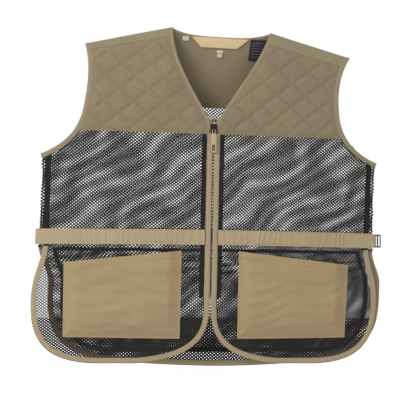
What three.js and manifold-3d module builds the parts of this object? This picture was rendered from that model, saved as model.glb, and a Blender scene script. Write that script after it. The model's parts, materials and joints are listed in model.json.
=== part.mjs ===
// Mesh-bodied field vest: quilted shoulder yokes, open net body, front zip, patch pockets, waist belt.
// Millimetres, +Z up, +X towards the wearer's left, the front faces -Y.
// The origin lies midway between the two neck points, where the shoulders carry the vest.
// The pattern is drawn flat: u runs out from the centre front, v runs down from the neck points.
import * as THREE from "three";
import { mergeVertices } from "three/addons/utils/BufferGeometryUtils.js";
import Module from "manifold-3d";

const wasm = await Module();
wasm.setup();

// ---- body outline, on the flat pattern
const NECK_HALF = 90;
const NECK_SCOOP = 11;
const SHOULDER_HALF = 246;
const SHOULDER_DROP = 39;
const ARM_HALF = 233;
const CHEST_HALF = 311;
const UNDERARM_DROP = 237;
const VENT_DROP = 404;
const BACK_LENGTH = 625.5;
const FRONT_RISE = 7.5;
const FLAP_FLARE = 11;
const FLAP_BELLY = 11;
const FLAP_SPREAD = 46;
const FRONT_CORNER = 130;
const SIDE_CORNER = 110;

// ---- yokes and seams
const YOKE_DROP = 192;
const BACK_YOKE_DROP = 141.5;
const SKIRT_SEAM = 388;
const FORWARD_SEAM = { left: { neck: 20, arm: 19 }, right: { neck: 15, arm: 10 } };
const SEAM_TAPE_WIDTH = 10.4;
const SEAM_TAPE_INSET = 7.6;

// ---- cloth thicknesses and the clearance between neighbours
const GAP = 0.3;
const NET_THICK = 1.6;
const YOKE_THICK = 2.2;
const BINDING_THICK = 2.6;
const BINDING_LAP = 0.4;
const BATTING_THICK = 3.1;
const TAPE_THICK = 1;
const WEB_THICK = 2.2;
const LABEL_THICK = 0.8;

// ---- bindings
const NECK_BINDING = 6;
const ARM_BINDING = 8.5;
const FRONT_BINDING = 9.8;
const HEM_BINDING = 9.8;

// ---- zip
const ZIP_TOP = 172;
const ZIP_LENGTH = 324;
const ZIP_THROAT = 6;
const COIL_HALF = 1.9;
const ZIP_TAPE_HALF = 12.7;
const STAY_WIDTH = 8;
const STOP = { from: 0.8, to: 4.2, length: 4, above: 6, stands: 1.4 };
const ZIP_BOX = { from: -0.4, to: 1.9, length: 12, stands: 2 };
const ZIP_PIN = { from: -1.9, to: -0.7, length: 9, stands: 1.6 };
const SLIDER = {
  start: 12, width: 10.6, length: 19, wing: 2, rearWing: 1.2, post: 1.2, bridge: 2.6,
  archLow: -4.1, archHigh: 5.2,
};
const PULL = {
  width: 10.6, length: 42, thick: 1.2, window: 3.4, reach: 7.1, cheek: 1.5, flare: 3, rests: -0.9, lift: 1.1,
  eyeWidth: 5.6, eyeLength: 12, eyeRim: 2.6,
};

// ---- belt and side buckles
const BELT_HEIGHT = 28;
const BELT_ABOVE_VENT = 3;
const BELT_SAG = 3;
const BELT_END_LENGTH = 56;
const BELT_WRAP = 6;
const BELT_TURN_BACK = 26;
const BELT_BACK_INSET = { left: 14, right: 62 };
const RIGHT_BUCKLE_INSET = 40;
const RIGHT_LOOP_LENGTH = 9;
const BUCKLE_STANDS = 0.6;
const STRAP_HEIGHT = 18;
const STRAP_THICK = 1.4;
const BUCKLE = { bar: 2.4, slot: 4.2, rail: 2.5, tip: 2.6, room: 0.6, round: 2 };
const LOOP = { inner: 1.8, turn: 2.6 };

// ---- pockets
const POCKET_INSET = 47;
const POCKET_IN = 53;
const POCKET_BELOW_BELT = 11;
const POCKET_SLANT = 24;
const POCKET_ABOVE_HEM = 46;
const POCKET_DEPTH = 10;
const POUCH_DEPTH = 12;
const POUCH_INSET = 24;
const POUCH_ABOVE_HEM = 26;
const POUCH_CORNER = { across: 97, below: 95.5, up: 40 };
const POCKET_RISE = 20;

// ---- labels
const LABEL_TUCK = 4;
const NECK_LABEL = { topHalf: 53, lowHalf: 34, height: 18 };
const SIZE_LABEL = { from: -4, width: 14, drop: 22, length: 13 };
const LAUNDRY_TAB = { from: -70, width: 13, drop: 0, length: 9 };
const CARE_LABEL = { from: 57, width: 30, drop: -1, length: 39 };

// ---- how the cloth stands away from the middle plane, and how the vest hangs
const BULGE = 34;
const LENS_POWER = 2.4;
const SHOULDER_ROUND = 160;
const CLOSED_EDGE = 0.5;
const HEM_FLATTEN = 0.45;
const GRID_COLUMNS = 7;
const TILT = 0.0206;
const NECK_LEAN = 10.7;
const SKEW = 0.045;
const SHOULDER_SLOPE = 0.062;
const BACK_SWAY = 18;
const SWAY_LENGTH = 66;

const ZIP_BOTTOM = ZIP_TOP + ZIP_LENGTH;
const BINDING_TOP = YOKE_DROP - 2 + GAP;
const FRONT_HEM = BACK_LENGTH - FRONT_RISE;
const POCKET_OUT = CHEST_HALF - POCKET_INSET;
const FRONT_EDGE = COIL_HALF + GAP;
const SEAM_OUT = CHEST_HALF - SEAM_TAPE_INSET;
const SEAM_IN = SEAM_OUT - SEAM_TAPE_WIDTH;
const BELT_LAYER = NET_THICK + GAP;
const GRID = CHEST_HALF / GRID_COLUMNS;
const FAR = 1200;

const CLOTH = {
  khaki: 0x8f7f62, tan: 0xaa936c, binding: 0xa5926f, black: 0x1b1a18, coil: 0x4a4030,
  cream: 0xcfc09a, white: 0xd8d2c4,
};

const clamp01 = (t) => Math.min(1, Math.max(0, t));
const smooth = (t) => clamp01(t) ** 2 * (3 - 2 * clamp01(t));

// Drop of the shoulder line at a place across the vest
function shoulderLine(u) {
  const run = Math.max(0, Math.abs(u) - NECK_HALF) / (SHOULDER_HALF - NECK_HALF);
  return SHOULDER_DROP * run;
}

// Half the distance between front and back: nothing along the shoulders and the side seams
function depth(u, v) {
  const flare = (FLAP_FLARE + FLAP_BELLY) * smooth((v - VENT_DROP) / FLAP_SPREAD);
  const across = 1 - (Math.abs(u) / (CHEST_HALF + flare)) ** LENS_POWER;
  const fall = Math.min(1, (v - shoulderLine(u)) / SHOULDER_ROUND);
  const down = fall < 0 ? 2 * fall : 1 - (1 - fall) ** 2;
  const hem = 1 - HEM_FLATTEN * smooth((v - ZIP_BOTTOM - 12) / (BACK_LENGTH - ZIP_BOTTOM));
  return CLOSED_EDGE + BULGE * across * down * hem;
}

// Where a place of the pattern hangs: the vest leans and skews a little, and the back flaps sway
function hang(u, v, sway) {
  const lean = NECK_LEAN * (Math.max(0, 1 - v / ZIP_TOP) ** 2 - 1) - TILT * v;
  const skew = SKEW * Math.sqrt(Math.max(0, v) / BACK_LENGTH) * Math.abs(u);
  const slope = SHOULDER_SLOPE * Math.max(0, 1 - Math.max(v, 0) / BACK_LENGTH) ** 1.5 * u;
  const drift = sway * smooth((v - VENT_DROP) / SWAY_LENGTH);
  return [u - skew + lean + drift, -(v + slope)];
}

// ---- solids ----

function toSolid(geometry) {
  const bare = geometry.index ? geometry.toNonIndexed() : geometry.clone();
  bare.deleteAttribute("normal");
  bare.deleteAttribute("uv");
  const merged = mergeVertices(bare, 1e-4);
  const triVerts = new Uint32Array(merged.index.array);
  const vertProperties = merged.attributes.position.array;
  return new wasm.Manifold(new wasm.Mesh({ numProp: 3, vertProperties, triVerts }));
}

function toGeometry(solid) {
  const { vertProperties, triVerts } = solid.getMesh();
  const indexed = new THREE.BufferGeometry();
  indexed.setAttribute("position", new THREE.BufferAttribute(new Float32Array(vertProperties), 3));
  indexed.setIndex(new THREE.BufferAttribute(new Uint32Array(triVerts), 1));
  const geometry = indexed.toNonIndexed();
  geometry.computeVertexNormals();
  return geometry;
}

const unite = (...solids) => solids.reduce((whole, next) => whole.add(next));
const cut = (solid, ...tools) => tools.reduce((left, tool) => left.subtract(tool), solid);
const keep = (solid, ...tools) => tools.reduce((left, tool) => left.intersect(tool), solid);

// A slab over the whole pattern, between two depths given as functions of u and v
function slab(low, high, sway = 0) {
  const columns = GRID_COLUMNS + 2;
  const rows = Math.ceil(BACK_LENGTH / GRID) + 2;
  const wide = 2 * columns + 1;
  const positions = [];
  for (const y of [low, high])
    for (let j = 0; j <= rows; j++)
      for (let i = -columns; i <= columns; i++) {
        const [u, v] = [i * GRID, (j - 1) * GRID];
        const [x, z] = hang(u, v, sway);
        positions.push(x, y(u, v), z);
      }
  const layer = wide * (rows + 1);
  const index = [];
  const quad = (a, b, c, d) => index.push(a, b, c, a, c, d);
  for (let j = 0; j < rows; j++)
    for (let i = 0; i < wide - 1; i++) {
      const a = j * wide + i;
      quad(a, a + wide, a + wide + 1, a + 1);
      quad(a + layer, a + layer + 1, a + layer + wide + 1, a + layer + wide);
    }
  for (let i = 0; i < wide - 1; i++) {
    const end = rows * wide + i;
    quad(i, i + 1, i + 1 + layer, i + layer);
    quad(end + 1, end, end + layer, end + 1 + layer);
  }
  for (let j = 0; j < rows; j++) {
    const [near, far] = [j * wide, j * wide + wide - 1];
    quad(near + wide, near, near + layer, near + wide + layer);
    quad(far, far + wide, far + wide + layer, far + layer);
  }
  const geometry = new THREE.BufferGeometry();
  geometry.setAttribute("position", new THREE.Float32BufferAttribute(positions, 3));
  geometry.setIndex(index);
  return toSolid(geometry);
}

// Cloth layers, by their distance outwards from the front or the back surface
const onFront = (inner, outer) =>
  slab((u, v) => -depth(u, v) - outer, (u, v) => -depth(u, v) - inner);
const onBack = (inner, outer) =>
  slab((u, v) => depth(u, v) + inner, (u, v) => depth(u, v) + outer, BACK_SWAY);

// Everything between the outer faces of a front and a back layer
const through = (outer) =>
  keep(
    slab((u, v) => -depth(u, v) - outer, () => FAR),
    slab(() => -FAR, (u, v) => depth(u, v) + outer, BACK_SWAY),
  );

// A prism along Y over an outline of the pattern, its edges divided so that they hang truly
function prism(points, sway = 0) {
  const outline = [];
  points.forEach(([u, v], k) => {
    const [nextU, nextV] = points[(k + 1) % points.length];
    const parts = Math.max(1, Math.ceil(Math.hypot(nextU - u, nextV - v) / GRID));
    for (let n = 0; n < parts; n++) {
      const t = n / parts;
      outline.push(hang(u + (nextU - u) * t, v + (nextV - v) * t, sway));
    }
  });
  const shape = new THREE.Shape(outline.map(([x, z]) => new THREE.Vector2(x, z)));
  const geometry = new THREE.ExtrudeGeometry(shape, { depth: 2 * FAR, bevelEnabled: false });
  return toSolid(geometry.rotateX(Math.PI / 2).translate(0, FAR, 0));
}

// ---- outline curves of the left half, from top to bottom ----

function curve(start, ...steps) {
  const path = new THREE.Path();
  path.moveTo(...start);
  for (const step of steps) step.length === 6 ? path.bezierCurveTo(...step) : path.lineTo(...step);
  return path.getPoints(6).map((p) => [p.x, p.y]);
}

// The curve moved sideways; positive is to the right hand of someone walking along it
function offset(points, distance) {
  return points.map(([u, v], k) => {
    const [beforeU, beforeV] = points[Math.max(0, k - 1)];
    const [afterU, afterV] = points[Math.min(points.length - 1, k + 1)];
    const run = Math.hypot(afterU - beforeU, afterV - beforeV);
    return [u - ((afterV - beforeV) / run) * distance, v + ((afterU - beforeU) / run) * distance];
  });
}

// The curve made longer at both ends
function extend(points, extra) {
  const past = ([u, v], [fromU, fromV]) => {
    const run = Math.hypot(u - fromU, v - fromV);
    return [u + ((u - fromU) / run) * extra, v + ((v - fromV) / run) * extra];
  };
  const last = points.length - 1;
  return [past(points[0], points[1]), ...points, past(points[last], points[last - 1])];
}

const strip = (points, near, far) => [...offset(points, near), ...offset(points, far).reverse()];
const mirror = (points, side) => points.map(([u, v]) => [u * side, v]);

const armDepth = UNDERARM_DROP - SHOULDER_DROP;
const armAt = (share) => SHOULDER_DROP + armDepth * share;
const corner = CHEST_HALF + FLAP_FLARE;

const neckEdge = curve(
  [NECK_HALF, 0],
  [NECK_HALF - 10, ZIP_TOP * 0.36, NECK_HALF * 0.38, ZIP_TOP * 0.68, ZIP_THROAT, ZIP_TOP],
  [ZIP_THROAT, YOKE_DROP - 2],
);
const backNeckEdge = curve(
  [NECK_HALF + NECK_BINDING + 1, shoulderLine(NECK_HALF + NECK_BINDING + 1)],
  [NECK_HALF, 0],
  [NECK_HALF * 0.72, NECK_SCOOP - 1, NECK_HALF * 0.5, NECK_SCOOP, 0, NECK_SCOOP],
);
const armEdge = curve(
  [SHOULDER_HALF, SHOULDER_DROP],
  [ARM_HALF, armAt(0.146), ARM_HALF - 2, armAt(0.333), ARM_HALF + 3, armAt(0.51)],
  [ARM_HALF + 7, armAt(0.722), ARM_HALF + 25, armAt(0.884), CHEST_HALF, UNDERARM_DROP],
);
const sideEdge = curve(
  [CHEST_HALF, UNDERARM_DROP],
  [CHEST_HALF - 5, UNDERARM_DROP + 20, CHEST_HALF - 3, UNDERARM_DROP + 80, CHEST_HALF, VENT_DROP],
);
const frontFlapEdge = curve(
  [SEAM_OUT, VENT_DROP],
  [CHEST_HALF - 5, VENT_DROP + 36, corner, VENT_DROP + 51, corner, VENT_DROP + 101],
  [corner, FRONT_HEM - 28, corner - 42, FRONT_HEM - 1, corner - SIDE_CORNER - 12, FRONT_HEM],
  [FRONT_CORNER, FRONT_HEM - 0.5],
  [FRONT_CORNER - 55, FRONT_HEM - 6, FRONT_EDGE, FRONT_HEM - 18, FRONT_EDGE, ZIP_BOTTOM + 23],
);
const frontEdge = [...frontFlapEdge, [FRONT_EDGE, ZIP_BOTTOM], [FRONT_EDGE, BINDING_TOP]];
const backFlapEdge = curve(
  [CHEST_HALF, VENT_DROP],
  [CHEST_HALF, VENT_DROP + 26, CHEST_HALF - 2, VENT_DROP + 46, CHEST_HALF - 1.5, VENT_DROP + 96],
  [CHEST_HALF - 1.5, BACK_LENGTH - 50, CHEST_HALF - 41, BACK_LENGTH - 9.5,
    CHEST_HALF - SIDE_CORNER - 36, BACK_LENGTH - 7.5],
  [CHEST_HALF / 2 - 45, BACK_LENGTH - 3.5, CHEST_HALF / 6, BACK_LENGTH, 0, BACK_LENGTH],
);

const shoulderTop = [[SHOULDER_HALF, SHOULDER_DROP], [NECK_HALF, 0]];

// ---- regions that bound the panels ----

const sides = [1, -1];
const sideName = (side) => (side > 0 ? "left" : "right");
const rectangle = (u0, v0, u1, v1) => [[u0, v0], [u1, v0], [u1, v1], [u0, v1]];
const above = (limit) => prism(rectangle(-FAR / 2, -FAR / 4, FAR / 2, limit));
const outerSide = (side, from, down) => prism(mirror(rectangle(from, 0, CHEST_HALF + 60, down), side));
const seamCap = (side, drop) => {
  const { neck, arm } = FORWARD_SEAM[sideName(side)];
  const seam = extend([[NECK_HALF, neck + drop], [SHOULDER_HALF, SHOULDER_DROP + arm + drop]], 40);
  const cap = [seam[0], seam[3], [seam[3][0], -FAR / 4], [seam[0][0], -FAR / 4]];
  return prism(mirror(cap, side));
};

const halfRim = [...[...neckEdge].reverse(), [SHOULDER_HALF, SHOULDER_DROP], ...armEdge.slice(1),
  ...sideEdge.slice(1)];
const frontOutline = [...halfRim, ...frontFlapEdge, ...frontEdge.slice(-2)];
const frontHalf = (side) => prism(mirror(frontOutline, side));
const backRim = [...backNeckEdge.slice(1).reverse(), [SHOULDER_HALF, SHOULDER_DROP],
  ...armEdge.slice(1), ...sideEdge.slice(1), ...backFlapEdge.slice(1)];
const backBody = prism([...backRim, ...mirror(backRim, -1).reverse().slice(1, -1)], BACK_SWAY);

// A strip along an edge, as wide as its binding; with a clearance it cuts the panel beside it
function edgeStrip(edge, side, width, clearance = 0, sway = 0) {
  const outward = -8 * Math.sign(width);
  const inward = width + clearance * Math.sign(width);
  return prism(mirror(strip(extend(edge, 12), outward, inward), side), sway);
}
const neckStrip = (side, clearance) => edgeStrip(neckEdge, side, -NECK_BINDING, clearance);
const armStrip = (side, clearance) => edgeStrip(armEdge, side, ARM_BINDING, clearance);
const frontStrip = (side, clearance) =>
  cut(edgeStrip(frontEdge, side, FRONT_BINDING, clearance),
    outerSide(side, CHEST_HALF / 2, VENT_DROP + GAP - clearance));
const fullBackNeck = [...backNeckEdge, ...mirror(backNeckEdge, -1).reverse().slice(1)];
function backNeckStrip(clearance) {
  const reach = NECK_HALF + NECK_BINDING + clearance;
  return keep(edgeStrip(fullBackNeck, 1, -NECK_BINDING - 2, clearance),
    prism(rectangle(-reach, -FAR / 4, reach, YOKE_DROP)));
}
const fullBackFlap = [...backFlapEdge, ...mirror(backFlapEdge, -1).reverse().slice(1)];
const hemStrip = (clearance) =>
  cut(edgeStrip(fullBackFlap, 1, HEM_BINDING, clearance, BACK_SWAY),
    above(VENT_DROP + GAP - clearance));

// Narrow bands where front and back are closed on each other
const shoulderBand = unite(
  ...sides.map((side) => prism(mirror(strip(extend(shoulderTop, 16), 6, -3), side))));
const sideBand = unite(...sides.map((side) => prism(mirror(strip(sideEdge, -6, 3), side))));

// A layer that wraps from the front round a closed edge to the back
function wrap(inner, outer, frontRegion, backRegion, foldRegion) {
  const fold = keep(through(outer), foldRegion);
  return unite(keep(onFront(inner, outer), frontRegion), keep(onBack(inner, outer), backRegion), fold);
}

// ---- the part ----

const vest = new THREE.Group();

function addPiece(name, geometry, colour, roughness = 0.9, metalness = 0, parent = vest) {
  const material = new THREE.MeshStandardMaterial({ color: colour, roughness, metalness });
  const mesh = new THREE.Mesh(geometry, material);
  mesh.name = name;
  parent.add(mesh);
  return mesh;
}
const addCloth = (name, solid, colour) => addPiece(name, toGeometry(solid), colour);

// Back: the yoke folds over the shoulders, the net folds round the sides and is seamed under the belt
function addBack() {
  const rims = sides.map((side) => armStrip(side, GAP));
  const necks = sides.map((side) => neckStrip(side, GAP));
  const caps = unite(...sides.map((side) => keep(frontHalf(side), seamCap(side, 0))));
  const backPanel = cut(keep(backBody, above(BACK_YOKE_DROP)), backNeckStrip(GAP), ...rims);
  const frontCaps = cut(caps, backNeckStrip(GAP), ...necks, ...rims);
  const shoulders = cut(keep(shoulderBand, unite(caps, backBody)), backNeckStrip(GAP), ...necks, ...rims);
  addCloth("back_yoke", wrap(0, YOKE_THICK, frontCaps, backPanel, shoulders), CLOTH.khaki);

  const flanks = unite(...sides.map((side) => keep(frontHalf(side),
    outerSide(side, SEAM_OUT + GAP, VENT_DROP - GAP))));
  const netPanel = cut(backBody, above(BACK_YOKE_DROP + GAP), hemStrip(GAP), ...rims);
  const turned = cut(flanks, ...rims);
  const net = wrap(0, NET_THICK, turned, netPanel, keep(turned, sideBand));
  addCloth("back_net", keep(net, above(SKIRT_SEAM)), CLOTH.black);
  addCloth("back_skirt_net", cut(net, above(SKIRT_SEAM + GAP)), CLOTH.black);
}

// Front: a quilted yoke over a net panel on each side of the zip
function addFront(side) {
  const half = frontHalf(side);
  const name = sideName(side);
  addCloth(`front_yoke_${name}`,
    cut(keep(onFront(0, YOKE_THICK), half, above(YOKE_DROP)), seamCap(side, GAP),
      neckStrip(side, GAP), armStrip(side, GAP), frontStrip(side, GAP)), CLOTH.khaki);
  addCloth(`shoulder_pad_${name}`,
    cut(keep(onFront(-GAP - BATTING_THICK, -GAP), half, above(YOKE_DROP - 8)), seamCap(side, 10),
      neckStrip(side, 12), armStrip(side, 12)), CLOTH.khaki);
  addCloth(`front_net_${name}`,
    cut(keep(onFront(0, NET_THICK), half), above(YOKE_DROP + GAP), armStrip(side, GAP),
      frontStrip(side, GAP), outerSide(side, SEAM_IN - GAP, VENT_DROP + GAP)), CLOTH.black);
  addCloth(`side_seam_tape_${name}`,
    cut(keep(onFront(0, NET_THICK), half, outerSide(side, SEAM_IN, VENT_DROP)),
      outerSide(side, SEAM_OUT, VENT_DROP), armStrip(side, GAP)), CLOTH.black);
}

// Bindings: folded tape sewn over every raw edge
function addBindings() {
  const [inner, outer] = [-BINDING_LAP, BINDING_THICK - BINDING_LAP];
  const necks = sides.map((side) => keep(neckStrip(side, 0), frontHalf(side)));
  const backNeck = keep(backNeckStrip(0), backBody);
  const neckFold = keep(shoulderBand, unite(...necks));
  addCloth("neck_binding",
    keep(wrap(inner, outer, unite(...necks), backNeck, neckFold), above(YOKE_DROP - 2)),
    CLOTH.binding);
  const bands = unite(shoulderBand, sideBand);
  for (const side of sides) {
    const rim = keep(armStrip(side, 0), unite(frontHalf(side), backBody));
    addCloth(`armhole_binding_${sideName(side)}`,
      wrap(inner, outer, keep(rim, frontHalf(side)), keep(rim, backBody), keep(rim, bands)),
      CLOTH.binding);
    addCloth(`front_binding_${sideName(side)}`,
      cut(keep(onFront(inner, outer), frontHalf(side), frontStrip(side, 0)), above(BINDING_TOP)),
      CLOTH.binding);
  }
  addCloth("back_hem_binding", keep(onBack(inner, outer), backBody, hemStrip(0)), CLOTH.binding);
}

// Zip: tapes and coils, stops above, box and pin below, black stay tapes behind the net edges
function addZip(side) {
  const name = sideName(side);
  const patch = (inner, outer, u0, v0, u1, v1) =>
    keep(onFront(inner, outer), prism(mirror(rectangle(u0, v0, u1, v1), side)));
  const tapeTop = -BINDING_LAP - GAP;
  addCloth(`zip_tape_${name}`,
    patch(tapeTop - TAPE_THICK, tapeTop, GAP, ZIP_TOP - 8, ZIP_TAPE_HALF, ZIP_BOTTOM + 8),
    CLOTH.tan);
  const stayIn = Math.max(ZIP_TAPE_HALF + GAP, FRONT_EDGE + FRONT_BINDING) + GAP;
  addCloth(`stay_tape_${name}`,
    patch(-GAP - TAPE_THICK, -GAP, stayIn, YOKE_DROP + 2, stayIn + STAY_WIDTH, ZIP_BOTTOM),
    CLOTH.black);
  addCloth(`zip_coil_${name}`,
    patch(-BINDING_LAP, COIL_HALF, GAP / 2, ZIP_TOP + 12, COIL_HALF, ZIP_BOTTOM), CLOTH.coil);
  addCloth(`zip_top_stop_${name}`,
    patch(-BINDING_LAP, STOP.stands, STOP.from, ZIP_TOP - STOP.above, STOP.to,
      ZIP_TOP - STOP.above + STOP.length), CLOTH.black);
}

function addZipEnd() {
  const block = ({ from, to, length, stands }) =>
    keep(onFront(-BINDING_LAP, stands),
      prism(rectangle(from, ZIP_BOTTOM + GAP, to, ZIP_BOTTOM + GAP + length)));
  addCloth("zip_box", block(ZIP_BOX), CLOTH.tan);
  addCloth("zip_pin", block(ZIP_PIN), CLOTH.tan);
}

// A flat outline in X-Z, given thickness along Y from its middle, with holes right through it
function plate(outline, holes, thick) {
  const extruded = (shape, deep) => {
    const geometry = new THREE.ExtrudeGeometry(shape, { depth: deep, bevelEnabled: false });
    return toSolid(geometry.rotateX(Math.PI / 2).translate(0, deep / 2, 0));
  };
  return toGeometry(cut(extruded(outline, thick), ...holes.map((hole) => extruded(hole, 3 * thick))));
}

function corners(points) {
  return new THREE.Shape(points.map(([x, z]) => new THREE.Vector2(x, z)));
}

function box(width, deep, height, x, y, z) {
  return new THREE.BoxGeometry(width, deep, height).translate(x, y, z);
}

// An outline with straight sides and round ends, standing on z0 and reaching to z1
function lozenge(width, z0, z1) {
  const half = width / 2;
  const shape = new THREE.Shape();
  shape.absarc(0, z0 + half, half, Math.PI, 2 * Math.PI, false);
  shape.absarc(0, z1 - half, half, 0, Math.PI, false);
  return shape;
}

// The slider and its pull, in a group that is turned to run along the zip
function addSlider() {
  const carriage = new THREE.Group();
  const middle = ZIP_TOP + SLIDER.start;
  const [x, z] = hang(0, middle, 0);
  carriage.position.set(x, -depth(0, middle), z);
  carriage.rotation.y = Math.atan(TILT);
  vest.add(carriage);

  const wingBack = BINDING_THICK - BINDING_LAP + GAP;
  const wingFront = wingBack + SLIDER.wing;
  const axis = wingFront + PULL.lift;
  const barBack = axis + PULL.lift;
  const barFront = barBack + SLIDER.post;
  const { archLow, archHigh } = SLIDER;
  const root = wingFront - SLIDER.wing / 5;
  const wing = toSolid(box(SLIDER.width, SLIDER.wing, SLIDER.length, 0, -wingBack - SLIDER.wing / 2, 0));
  const leg = (at) => toSolid(box(SLIDER.bridge, barFront - root, SLIDER.post,
    0, -(barFront + root) / 2, at));
  const bar = toSolid(box(SLIDER.bridge, SLIDER.post, archHigh - archLow,
    0, -(barBack + barFront) / 2, (archLow + archHigh) / 2));
  const legs = [archLow + SLIDER.post / 2, archHigh - SLIDER.post / 2].map(leg);
  addPiece("zip_slider", toGeometry(unite(wing, bar, ...legs)), CLOTH.black, 0.45, 0.6, carriage);

  const rear = BINDING_LAP + 2 * GAP + TAPE_THICK + SLIDER.rearWing / 2;
  addPiece("zip_slider_rear_wing", box(SLIDER.width, SLIDER.rearWing, SLIDER.length, 0, rear, 0),
    CLOTH.black, 0.45, 0.6, carriage);

  const pull = new THREE.Group();
  pull.position.set(0, -axis, PULL.rests);
  carriage.add(pull);
  const outline = new THREE.Shape();
  const [neck, half] = [PULL.window / 2 + PULL.cheek, PULL.width / 2];
  const shoulder = -PULL.reach - PULL.flare;
  outline.moveTo(-neck, PULL.thick / 2).lineTo(-neck, -PULL.reach);
  outline.lineTo(-half, shoulder);
  outline.absarc(0, half - PULL.length, half, Math.PI, 2 * Math.PI, false);
  outline.lineTo(half, shoulder).lineTo(neck, -PULL.reach).lineTo(neck, PULL.thick / 2);
  const window = corners(
    rectangle(-PULL.window / 2, -PULL.reach, PULL.window / 2, -PULL.thick / 2));
  const eyeLow = PULL.eyeRim - PULL.length;
  const eye = lozenge(PULL.eyeWidth, eyeLow, eyeLow + PULL.eyeLength);
  addPiece("zip_pull", plate(outline, [window, eye], PULL.thick), CLOTH.tan, 0.5, 0.2, pull);
}

// ---- belt ----

const beltTop = VENT_DROP - BELT_ABOVE_VENT - BELT_HEIGHT - BELT_SAG;
const beltLine = (u) => beltTop + BELT_HEIGHT / 2 + BELT_SAG * (u / CHEST_HALF) ** 2;

// A stretch of belt between two distances from the centre, of a given height
function beltBand(side, from, to, height, sway = 0) {
  const steps = 6;
  const line = [];
  for (let n = 0; n <= steps; n++) {
    const u = from + ((to - from) * n) / steps;
    line.push([u, beltLine(u)]);
  }
  const top = line.map(([u, v]) => [u, v - height / 2]);
  const bottom = line.map(([u, v]) => [u, v + height / 2]);
  return prism(mirror([...top, ...bottom.reverse()], side), sway);
}

const beltOuter = BELT_LAYER + WEB_THICK;

function addBelt() {
  const beltStart = FRONT_EDGE + FRONT_BINDING + GAP;
  const join = CHEST_HALF - BELT_END_LENGTH;
  for (const side of sides)
    addCloth(`belt_front_${sideName(side)}`,
      keep(onFront(BELT_LAYER, beltOuter), beltBand(side, beltStart, join, BELT_HEIGHT)), CLOTH.tan);
  addCloth("belt_end_left",
    keep(onFront(BELT_LAYER, beltOuter), beltBand(1, join + GAP, CHEST_HALF, BELT_HEIGHT)), CLOTH.tan);
  const turn = CHEST_HALF + BELT_WRAP;
  const turned = (from) => beltBand(-1, from, turn, BELT_HEIGHT);
  const bend = keep(through(beltOuter), turned(turn - WEB_THICK));
  addCloth("belt_end_right",
    unite(keep(onFront(BELT_LAYER, beltOuter), turned(join + GAP)),
      keep(onBack(BELT_LAYER, beltOuter), turned(CHEST_HALF - BELT_TURN_BACK)), bend), CLOTH.tan);
  addCloth("belt_back",
    keep(onBack(BELT_LAYER, beltOuter),
      unite(beltBand(1, 0, CHEST_HALF - BELT_BACK_INSET.left, BELT_HEIGHT),
        beltBand(-1, -1, CHEST_HALF - BELT_BACK_INSET.right, BELT_HEIGHT))), CLOTH.tan);
}

// Webbing loop round the buckle's hinge bar, in the buckle's own frame: the bar runs along Z
function loop(behind) {
  const outer = LOOP.inner + STRAP_THICK;
  const far = LOOP.turn + STRAP_THICK;
  const shape = new THREE.Shape();
  shape.moveTo(-behind, -outer).lineTo(far, -outer).lineTo(far, outer).lineTo(-behind, outer);
  shape.lineTo(-behind, LOOP.inner).lineTo(LOOP.turn, LOOP.inner);
  shape.lineTo(LOOP.turn, -LOOP.inner).lineTo(-behind, -LOOP.inner);
  const geometry = new THREE.ExtrudeGeometry(shape, { depth: STRAP_HEIGHT, bevelEnabled: false });
  return geometry.translate(0, 0, -STRAP_HEIGHT / 2);
}

// A flat buckle frame: hinge bar, strap bar and tip between two rails
function buckleFrame() {
  const inner = STRAP_HEIGHT / 2 + BUCKLE.room;
  const outer = inner + BUCKLE.rail;
  const strapBar = BUCKLE.bar / 2 + BUCKLE.slot;
  const tip = strapBar + BUCKLE.bar + BUCKLE.tip;
  const frame = new THREE.Shape();
  frame.moveTo(-BUCKLE.bar / 2, -outer);
  frame.absarc(tip, BUCKLE.round - outer, BUCKLE.round, -Math.PI / 2, 0, false);
  frame.absarc(tip, outer - BUCKLE.round, BUCKLE.round, 0, Math.PI / 2, false);
  frame.lineTo(-BUCKLE.bar / 2, outer);
  const slots = [[BUCKLE.bar / 2, strapBar], [strapBar + BUCKLE.bar, tip]];
  return plate(frame, slots.map(([from, to]) => corners(rectangle(from, -inner, to, inner))),
    BUCKLE.bar);
}

// One side adjuster: the loop sewn to the belt and the buckle that swings on it
function addAdjuster(side, barAt, heading, behind) {
  const frame = new THREE.Group();
  frame.position.set(...barAt);
  frame.rotation.z = heading;
  vest.add(frame);
  addPiece(`buckle_loop_${sideName(side)}`, loop(behind), CLOTH.tan, 0.9, 0, frame);
  addPiece(`buckle_${sideName(side)}`, buckleFrame(), CLOTH.black, 0.4, 0, frame);
}

function addAdjusters() {
  const edgeBar = CHEST_HALF + GAP + BUCKLE.bar / 2 + LOOP.inner - 0.1;
  const [leftX, leftZ] = hang(edgeBar, beltLine(edgeBar), 0);
  addAdjuster(1, [leftX, 0, leftZ], 0, edgeBar - CHEST_HALF - 3 * GAP);

  const rest = CHEST_HALF - RIGHT_BUCKLE_INSET;
  const [rightX, rightZ] = hang(-rest, beltLine(rest), BACK_SWAY);
  const rise = depth(rest - STRAP_HEIGHT, VENT_DROP) - depth(rest, VENT_DROP);
  const clear = BELT_LAYER + LOOP.inner + STRAP_THICK + GAP + BUCKLE_STANDS;
  addAdjuster(-1, [rightX, depth(rest, VENT_DROP) + clear, rightZ],
    Math.atan2(rise, STRAP_HEIGHT), RIGHT_LOOP_LENGTH);
}

// ---- pockets and rear pouch: trays sewn on at the sides and the bottom, open at the top ----

function tray(onSide, wallInside, cloth, outline, hollow, sway) {
  const body = keep(onSide(BELT_LAYER, wallInside + cloth), prism(outline, sway));
  return cut(body, keep(onSide(-2, wallInside), prism(hollow, sway)));
}

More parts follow.
